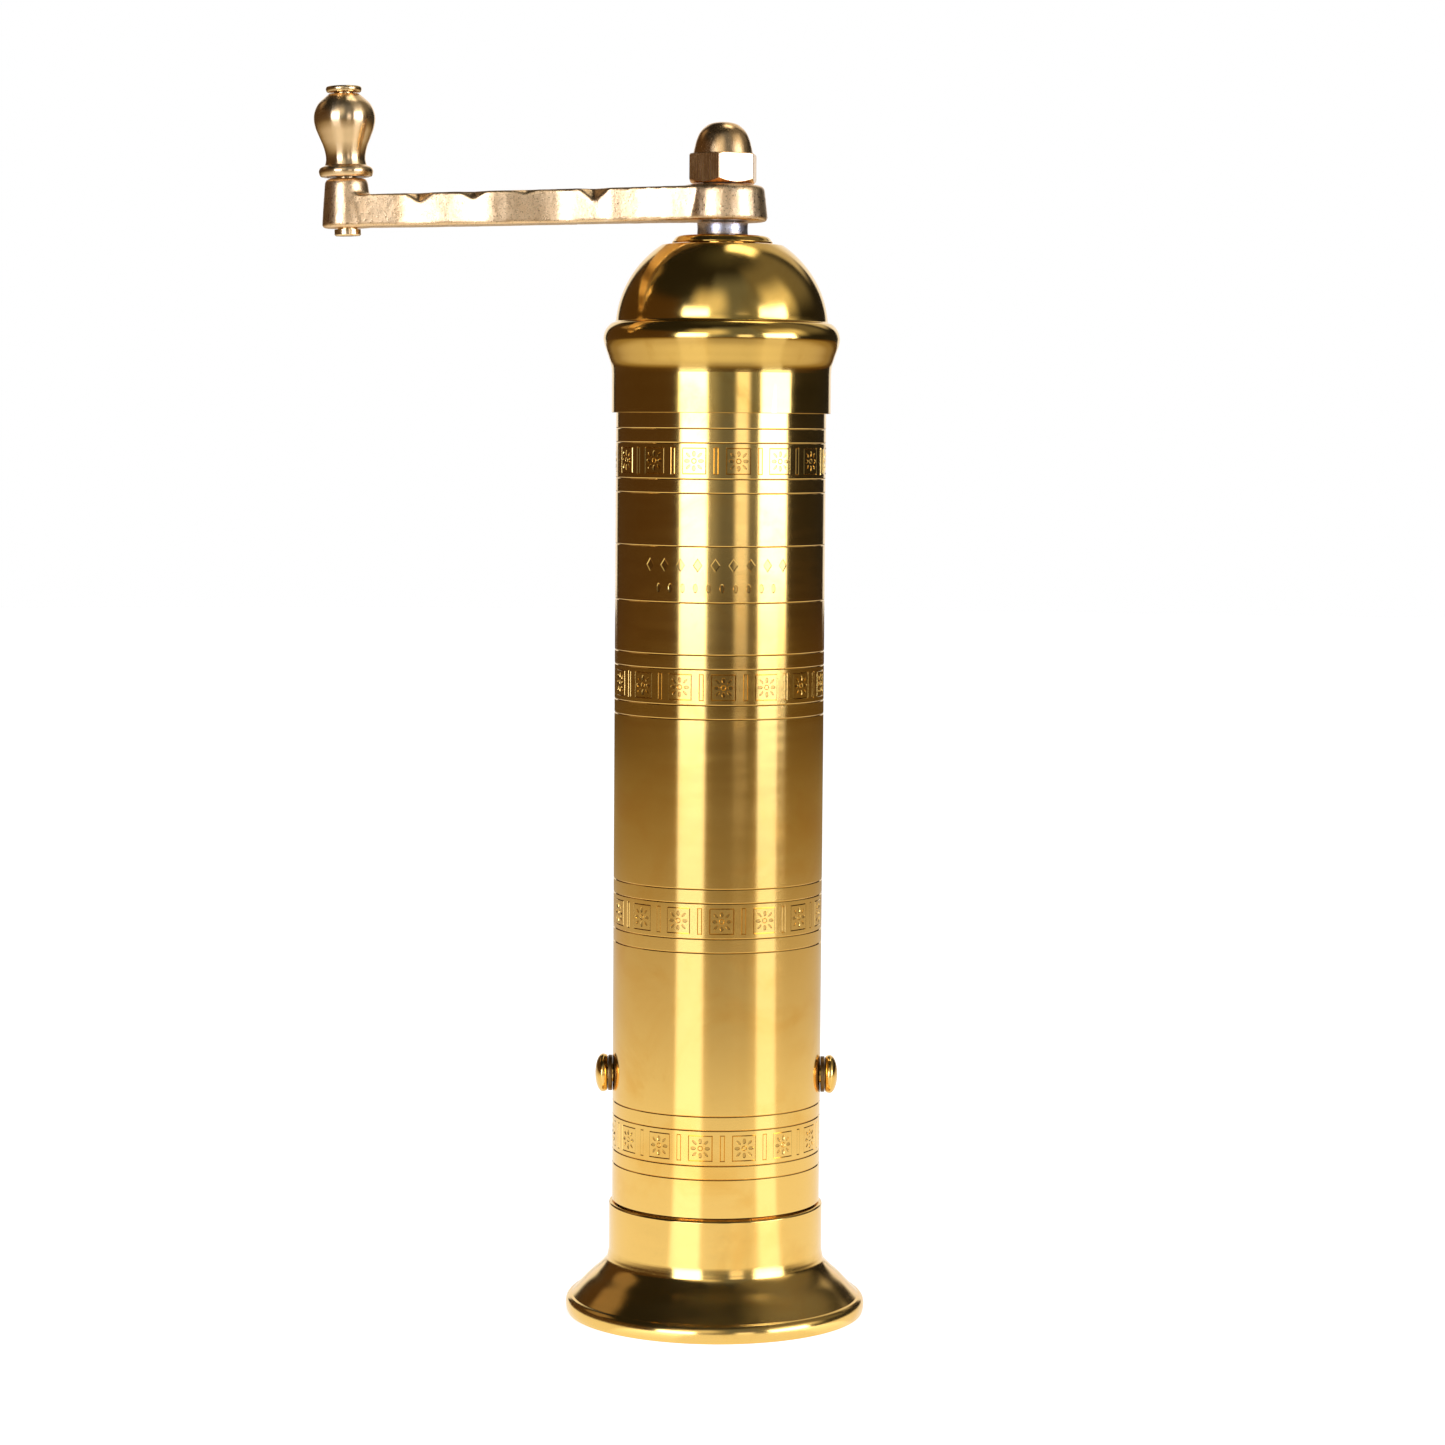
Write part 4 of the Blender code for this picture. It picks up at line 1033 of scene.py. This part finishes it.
def make_cap_nut():
    """Acorn nut: a hexagon with its lower corners turned off, under a pointed dome, with a blind thread."""
    hex_top = NUT_LOW.z + 6.0 * MM
    corner_r = NUT_FLATS / math.sqrt(3)
    place = MILL @ Matrix.Rotation(NUT_TURN, 4, "Z")
    nut = bar("cap_nut_turned", corner_r, NUT_LOW.z, hex_top, place, 6)
    soften(nut, 0.12 * MM, 2, 40)
    settle(nut)
    blank = [
        (0.0, hex_top + MM),
        (corner_r - 0.55 * MM, hex_top + MM),
        (corner_r - 0.55 * MM, hex_top),
        (corner_r + 0.1 * MM, hex_top - 0.45 * MM),
        (corner_r + 0.1 * MM, NUT_LOW.z + 0.95 * MM),
        (corner_r - 1.25 * MM, NUT_LOW.z),
        (corner_r - 1.25 * MM, NUT_LOW.z - MM),
        (0.0, NUT_LOW.z - MM),
    ]
    combine(nut, settle(turned("blank", blank, MILL, 128, bored=False, edge=0.0)), "INTERSECT")
    dome_r = 6.1 * MM
    dome_h = NUT_HIGH.z - hex_top
    dome = smooth(
        [
            (0.0, hex_top + dome_h),
            (0.27 * dome_r, hex_top + 0.98 * dome_h),
            (0.52 * dome_r, hex_top + 0.9 * dome_h),
            (0.76 * dome_r, hex_top + 0.69 * dome_h),
            (0.9 * dome_r, hex_top + 0.4 * dome_h),
            (dome_r, hex_top),
        ],
        7,
    )
    outline = [*dome, (dome_r, hex_top - MM), (0.0, hex_top - MM)]
    combine(nut, settle(turned("dome", outline, MILL, 128, bored=False, edge=0.0)), "UNION")
    combine(nut, bar("thread", SHAFT_BORE_R, NUT_LOW.z - MM, NUT_LOW.z + 7.5 * MM), "DIFFERENCE")
    clean(nut)
    settle(nut, 25)
    dress(nut, "crank", "nut_bronze", NUT_BRONZE, "cap_nut")


def make_shaft():
    """Long shaft: a square foot, a clip groove, two flats in the hub, and the thread in the nut."""
    shaft = refined("drive_shaft", 0.1 * MM)
    dress(settle(shaft, 30), "crank", "steel", TURNED_STEEL, "drive_shaft")


def make_shaft_rings():
    """Sleeve between bush and hub, and the washer and spring clip under the bush."""
    low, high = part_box("spacer_sleeve")
    radius = (high.x - low.x) / 2
    outline = [(radius, high.z), (radius - 0.05 * MM, (low.z + high.z) / 2), (radius, low.z)]
    outline += [(SHAFT_BORE_R, low.z), (SHAFT_BORE_R, high.z)]
    sleeve = turned("spacer_sleeve_turned", outline, segments=SEGMENTS_SMALL)
    dress(settle(sleeve), "crank", "steel", SLEEVE_STEEL, "spacer_sleeve")
    low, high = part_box("retaining_washer")
    radius = (high.x - low.x) / 2
    outline = [(radius, high.z), (radius, low.z), (SHAFT_BORE_R, low.z), (SHAFT_BORE_R, high.z)]
    washer = turned("retaining_washer_turned", outline, segments=SEGMENTS_SMALL, edge=0.2 * MM)
    dress(settle(washer), "crank", "steel", TURNED_STEEL, "retaining_washer")
    clip = settle(refined("retaining_clip", 0.12 * MM))
    dress(clip, "crank", "steel", TURNED_STEEL, "retaining_clip")


# ---------------------------------------------------------------- the knob, in heights along its own axis

KNOB_LOW = 6.9 * MM
KNOB_H = 16.7 * MM
PIN_R = 2.0 * MM
PIN_BORE_R = PIN_R + GAP
RECESS_R = 4.0 * MM  # in the grip's foot, for the washer
RECESS_H = 0.7 * MM


def make_knob_grip():
    """Turned grip: a rounded flange, a waist, and a bulb that narrows to its top."""
    bulb = smooth(
        [
            (3.15 * MM, KNOB_LOW + KNOB_H),
            (4.15 * MM, KNOB_LOW + 15.85 * MM),
            (5.3 * MM, KNOB_LOW + 14.75 * MM),
            (6.05 * MM, KNOB_LOW + 13.2 * MM),
            (6.25 * MM, KNOB_LOW + 11.6 * MM),
            (5.95 * MM, KNOB_LOW + 9.9 * MM),
            (5.25 * MM, KNOB_LOW + 8.1 * MM),
            (4.55 * MM, KNOB_LOW + 6.4 * MM),
            (4.12 * MM, KNOB_LOW + 4.8 * MM),
            (4.02 * MM, KNOB_LOW + 3.5 * MM),
            (4.25 * MM, KNOB_LOW + 2.35 * MM),
        ],
        6,
    )
    flange = smooth(
        [
            (4.7 * MM, KNOB_LOW + 2.1 * MM),
            (5.25 * MM, KNOB_LOW + 1.85 * MM),
            (5.55 * MM, KNOB_LOW + 1.1 * MM),
            (5.3 * MM, KNOB_LOW + 0.25 * MM),
            (4.9 * MM, KNOB_LOW),
        ],
        5,
    )
    outline = [
        (PIN_BORE_R, KNOB_LOW + KNOB_H),
        *bulb,
        *flange,
        (RECESS_R, KNOB_LOW),
        (RECESS_R, KNOB_LOW + RECESS_H),
        (PIN_BORE_R, KNOB_LOW + RECESS_H),
    ]
    grip = turned("knob_grip_turned", outline, KNOB, 128, edge=0.05 * MM)
    dress(settle(grip), "knob", "brass_knob", KNOB_BRASS, "knob_grip")


def make_knob_pin():
    """Pin that the grip spins on: a disc head above, a riveted end below, and a washer under the grip."""
    head_low = KNOB_LOW + KNOB_H + GAP
    head_top = head_low + 1.3 * MM
    head = smooth(
        [
            (3.1 * MM, head_top),
            (3.5 * MM, head_top - 0.15 * MM),
            (3.65 * MM, head_top - 0.6 * MM),
            (3.5 * MM, head_top - 1.1 * MM),
            (3.15 * MM, head_low),
        ],
        4,
    )
    stub_top = -3.7 * MM
    stub_low = stub_top - 1.3 * MM
    outline = [
        (0.0, head_top + 0.0 * MM),
        *head,
        (PIN_R, head_low),
        (PIN_R, stub_top),
        (2.7 * MM, stub_top),
        (2.7 * MM, stub_low + 0.25 * MM),
        (2.45 * MM, stub_low),
        (0.0, stub_low),
    ]
    pin = turned("knob_pin_turned", outline, KNOB, SEGMENTS_SMALL, bored=False, edge=0.0)
    dress(settle(pin), "crank", "brass_trim", PIN_BRASS, "knob_pin")
    low = KNOB_LOW
    ring = [(3.7 * MM, low + 0.4 * MM), (3.7 * MM, low), (PIN_BORE_R, low), (PIN_BORE_R, low + 0.4 * MM)]
    washer = turned("knob_washer_turned", ring, KNOB, SEGMENTS_SMALL, edge=0.08 * MM)
    dress(settle(washer), "crank", "steel", TURNED_STEEL, "knob_washer")


# ---------------------------------------------------------------- the grinding gear


def make_spring():
    """Coil between the thumb wheel and the bridge."""
    low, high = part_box("adjuster_spring")
    wire_r = 0.45 * MM
    coil_r = (high.x - low.x) / 2 - wire_r
    turns = 6
    steps = 32 * turns
    path = bpy.data.curves.new("coil", "CURVE")
    path.dimensions = "3D"
    path.bevel_depth = wire_r
    path.bevel_resolution = 3
    path.use_fill_caps = True
    wire = path.splines.new("POLY")
    wire.points.add(steps)
    for step, point in enumerate(wire.points):
        angle = FULL_TURN * turns * step / steps
        z = low.z + wire_r + (high.z - low.z - 2 * wire_r) * step / steps
        point.co = (MILL_X + coil_r * math.cos(angle), coil_r * math.sin(angle), z, 1.0)
    spring = bpy.data.objects.new("adjuster_spring_wound", path)
    bpy.context.scene.collection.objects.link(spring)
    start(spring)
    bpy.ops.object.convert(target="MESH")
    clean(spring)
    dress(settle(spring), "housing", "steel", TURNED_STEEL, "adjuster_spring")
    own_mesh(spring)


def make_gear():
    """Pieces whose CAD shape is right, with their edges broken."""
    for node, body, slot, material, edge in (
        ("burr_ring", "housing", "burr_steel", BURR_STEEL, 0.12 * MM),
        ("burr_cone", "burr", "burr_steel", BURR_STEEL, 0.12 * MM),
        ("adjuster_bridge", "housing", "steel", TURNED_STEEL, 0.3 * MM),
        ("bridge_screw_front", "housing", "steel", TURNED_STEEL, 0.1 * MM),
        ("bridge_screw_back", "housing", "steel", TURNED_STEEL, 0.1 * MM),
        ("adjusting_screw", "adjuster", "steel", TURNED_STEEL, 0.15 * MM),
        ("thumb_wheel", "adjuster", "brass_trim", TRIM_BRASS, 0.4 * MM),
        ("thrust_ball", "setting", "steel", TURNED_STEEL, 0.0),
    ):
        piece = refined(node, edge)
        dress(settle(piece), body, slot, material, node)


# ---------------------------------------------------------------- studio


def make_camera():
    """A long lens a little above the crank's height, looking slightly down."""
    data = bpy.data.cameras.new("camera")
    data.lens = 92.46
    data.sensor_width = 36.0
    camera = bpy.data.objects.new("camera", data)
    bpy.context.scene.collection.objects.link(camera)
    tilt = Matrix.Rotation(math.radians(90 - 4.53), 4, "X")
    roll = Matrix.Rotation(math.radians(0.43), 4, "Z")
    place = Matrix.Translation((MILL_X + 0.74 * MM, -0.7616, 0.1829))
    camera.matrix_world = place @ tilt @ roll
    bpy.context.scene.camera = camera


FLOOR_R = 3.0
# Light of the floor as the metal sees it, by distance from the mill in metres
FLOOR_LIGHT = (
    (0.05, (1.0, 0.98, 0.93)),
    (0.2, (0.98, 0.95, 0.88)),
    (0.45, (0.66, 0.60, 0.52)),
    (0.9, (0.33, 0.25, 0.12)),
    (1.6, (0.11, 0.065, 0.018)),
    (2.8, (0.07, 0.034, 0.012)),
)
# Soft boxes mirrored in the floor: their turns from the camera, and their light
FLOOR_SHEEN = (((-44.5, -15.0), (1.8, 2.0, 2.6)), ((43.0, 66.0), (1.5, 1.7, 2.2)))

# Soft boxes and cards round the mill, as the metal sees them: turn from the camera towards +X and height
# above the horizon, both in degrees, then how soft their edges are in turn and in height, and the light they add
CARDS = (
    ((-44.5, -14.5), (-40.0, 22.0), (2.2, 3.5), (4.4, 4.8, 6.2)),
    ((42.5, 77.0), (-40.0, 22.0), (2.2, 3.5), (4.4, 4.8, 6.2)),
    ((-34.0, 4.0), (16.0, 41.0), (9.0, 12.0), (0.75, 0.7, 0.6)),
    ((50.0, 92.0), (16.0, 40.0), (9.0, 12.0), (0.75, 0.72, 0.64)),
    ((-44.0, -6.0), (-40.0, 22.0), (10.0, 4.0), (0.32, 0.32, 0.32)),
    ((40.0, 76.0), (-40.0, 22.0), (10.0, 4.0), (0.3, 0.3, 0.28)),
    ((16.0, 30.0), (-40.0, 14.0), (3.0, 4.0), (1.35, 1.3, 1.4)),
    ((-14.0, 40.0), (-40.0, 58.0), (7.0, 14.0), (0.14, 0.155, 0.18)),
    ((40.0, 130.0), (20.0, 66.0), (10.0, 10.0), (0.16, 0.15, 0.13)),
    ((-150.0, -50.0), (-40.0, 30.0), (6.0, 6.0), (0.055, 0.024, 0.002)),
    ((-136.0, -108.0), (27.0, 44.0), (3.0, 3.0), (0.28, 0.2, 0.12)),
    ((141.0, 178.0), (24.0, 62.0), (4.0, 6.0), (0.6, 0.56, 0.48)),
)
# Lamps overhead: where they stand from the zenith towards +X and away from the camera, their half sizes, the
# softness of their edges and their light
OVERHEAD = (((0.2, 0.28), (0.15, 0.12), 0.05, (2.6, 2.5, 2.3)),)
BACKDROP_TURN = 156.0  # beyond this turn the metal sees the white wall behind it


def inside(tree, value, low, high, soft):
    """Mask of a range with soft ends."""
    rise = spread(tree, value, low - soft, low + soft)
    return times(tree, rise, spread(tree, value, high - soft, high + soft, 1.0, 0.0))


def make_floor():
    """White floor without an end. To the metal it is bright near the mill, dim and brown further out, with
    the soft boxes' sheen on it."""
    deselect()
    bpy.ops.mesh.primitive_circle_add(
        vertices=128, radius=FLOOR_R, fill_type="NGON", location=(MILL_X, 0.0, 0.0)
    )
    floor = bpy.context.active_object
    floor.name = "floor"
    bpy.ops.object.transform_apply(location=True)
    made = bpy.data.materials.new("pale floor")
    made.use_nodes = True
    tree = made.node_tree
    shader = tree.nodes["Principled BSDF"]
    shader.inputs["Base Color"].default_value = rgb(0.5, 0.5, 0.5)
    shader.inputs["Roughness"].default_value = 0.9
    shader.inputs["Specular IOR Level"].default_value = 0.0
    shader.inputs["Emission Color"].default_value = rgb(1.0, 1.0, 1.0)
    shader.inputs["Emission Strength"].default_value = 0.86
    place = tree.nodes.new("ShaderNodeMapping")
    place.vector_type = "TEXTURE"
    place.inputs["Location"].default_value = (MILL_X, 0.0, 0.0)
    tree.links.new(tree.nodes.new("ShaderNodeTexCoord").outputs["Object"], place.inputs["Vector"])
    x, y, _ = parts_of(tree, place.outputs[0])
    distance = from_axis(tree, x, y)
    light = tree.nodes.new("ShaderNodeValToRGB")
    ramp = light.color_ramp
    ramp.interpolation = "EASE"
    for place_on_ramp, colour in FLOOR_LIGHT:
        stop = ramp.elements.new(place_on_ramp / FLOOR_R)
        stop.color = rgb(*colour)
    ramp.elements.remove(ramp.elements[0])
    ramp.elements.remove(ramp.elements[-1])
    feed(tree, maths(tree, "DIVIDE", distance, FLOOR_R), light.inputs["Fac"])
    turn = maths(tree, "DEGREES", maths(tree, "ARCTAN2", x, times(tree, y, -1.0)))
    lit = light.outputs["Color"]
    ahead = inside(tree, turn, -12.0, 36.0, 8.0)
    shade = times(tree, ahead, spread(tree, distance, 0.15, 0.5, 0.0, 0.3))
    lit = mixed(tree, shade, lit, rgb(0.05, 0.055, 0.06))
    gloss = tree.nodes.new("ShaderNodeFresnel")
    gloss.inputs["IOR"].default_value = 1.4
    for (low, high), colour in FLOOR_SHEEN:
        sheen = times(tree, inside(tree, turn, low, high, 2.5), gloss.outputs[0])
        lit = mixed(tree, sheen, lit, rgb(*colour), "ADD")
    glow = tree.nodes.new("ShaderNodeEmission")
    feed(tree, lit, glow.inputs["Color"])
    seen = tree.nodes.new("ShaderNodeLightPath").outputs["Is Glossy Ray"]
    blend = tree.nodes.new("ShaderNodeMixShader")
    feed(tree, seen, blend.inputs[0])
    tree.links.new(shader.outputs[0], blend.inputs[1])
    tree.links.new(glow.outputs[0], blend.inputs[2])
    tree.links.new(blend.outputs[0], tree.nodes["Material Output"].inputs["Surface"])
    floor.data.materials.append(made)


def make_world():
    """White to the camera; to the metal, a dark room with soft boxes, a white wall behind and a lamp
    overhead."""
    world = bpy.data.worlds.new("studio")
    bpy.context.scene.world = world
    world.use_nodes = True
    tree = world.node_tree
    background = tree.nodes["Background"]
    x, y, z = parts_of(tree, tree.nodes.new("ShaderNodeTexCoord").outputs["Generated"])
    turn = maths(tree, "DEGREES", maths(tree, "ARCTAN2", x, times(tree, y, -1.0)))
    height = maths(tree, "DEGREES", maths(tree, "ARCSINE", z))
    light = mixed(tree, spread(tree, height, 66.0, 90.0), rgb(0.02, 0.018, 0.015), rgb(0.06, 0.06, 0.05))
    for turns, heights, soft, colour in CARDS:
        across = inside(tree, turn, *turns, soft[0])
        mask = times(tree, across, inside(tree, height, *heights, soft[1]))
        light = mixed(tree, mask, light, rgb(*colour), "ADD")
    for (to_x, to_y), (width, depth), soft, colour in OVERHEAD:
        across = inside(tree, x, to_x - width, to_x + width, soft)
        above = times(tree, across, spread(tree, z, 0.0, 0.2))
        mask = times(tree, above, inside(tree, y, to_y - depth, to_y + depth, soft))
        light = mixed(tree, mask, light, rgb(*colour), "ADD")
    behind = spread(tree, maths(tree, "ABSOLUTE", turn), BACKDROP_TURN - 2.0, BACKDROP_TURN + 2.0)
    behind = times(tree, behind, spread(tree, height, 22.0, 42.0, 1.0, 0.0))
    light = mixed(tree, behind, light, rgb(1.0, 0.98, 0.96))
    seen = tree.nodes.new("ShaderNodeLightPath").outputs["Is Camera Ray"]
    feed(tree, mixed(tree, seen, light, rgb(1.0, 1.0, 1.0)), background.inputs["Color"])


def make_lamp():
    """Soft lamp overhead, which lights the floor and gives the mill its faint shadow."""
    data = bpy.data.lights.new("overhead", "AREA")
    data.shape = "DISK"
    data.size = 0.9
    data.energy = 9.0
    lamp = bpy.data.objects.new("overhead", data)
    bpy.context.scene.collection.objects.link(lamp)
    lamp.location = (MILL_X + 0.15, -0.2, 1.3)
    lamp.visible_camera = False
    lamp.visible_glossy = False


bpy.context.scene.view_settings.view_transform = "Standard"
make_foot()
make_body_tube()
make_side_screws()
make_lid_shell()
make_lid_bush()
make_crank_arm()
make_cap_nut()
make_shaft()
make_shaft_rings()
make_knob_grip()
make_knob_pin()
make_spring()
make_gear()
make_camera()
make_floor()
make_world()
make_lamp()
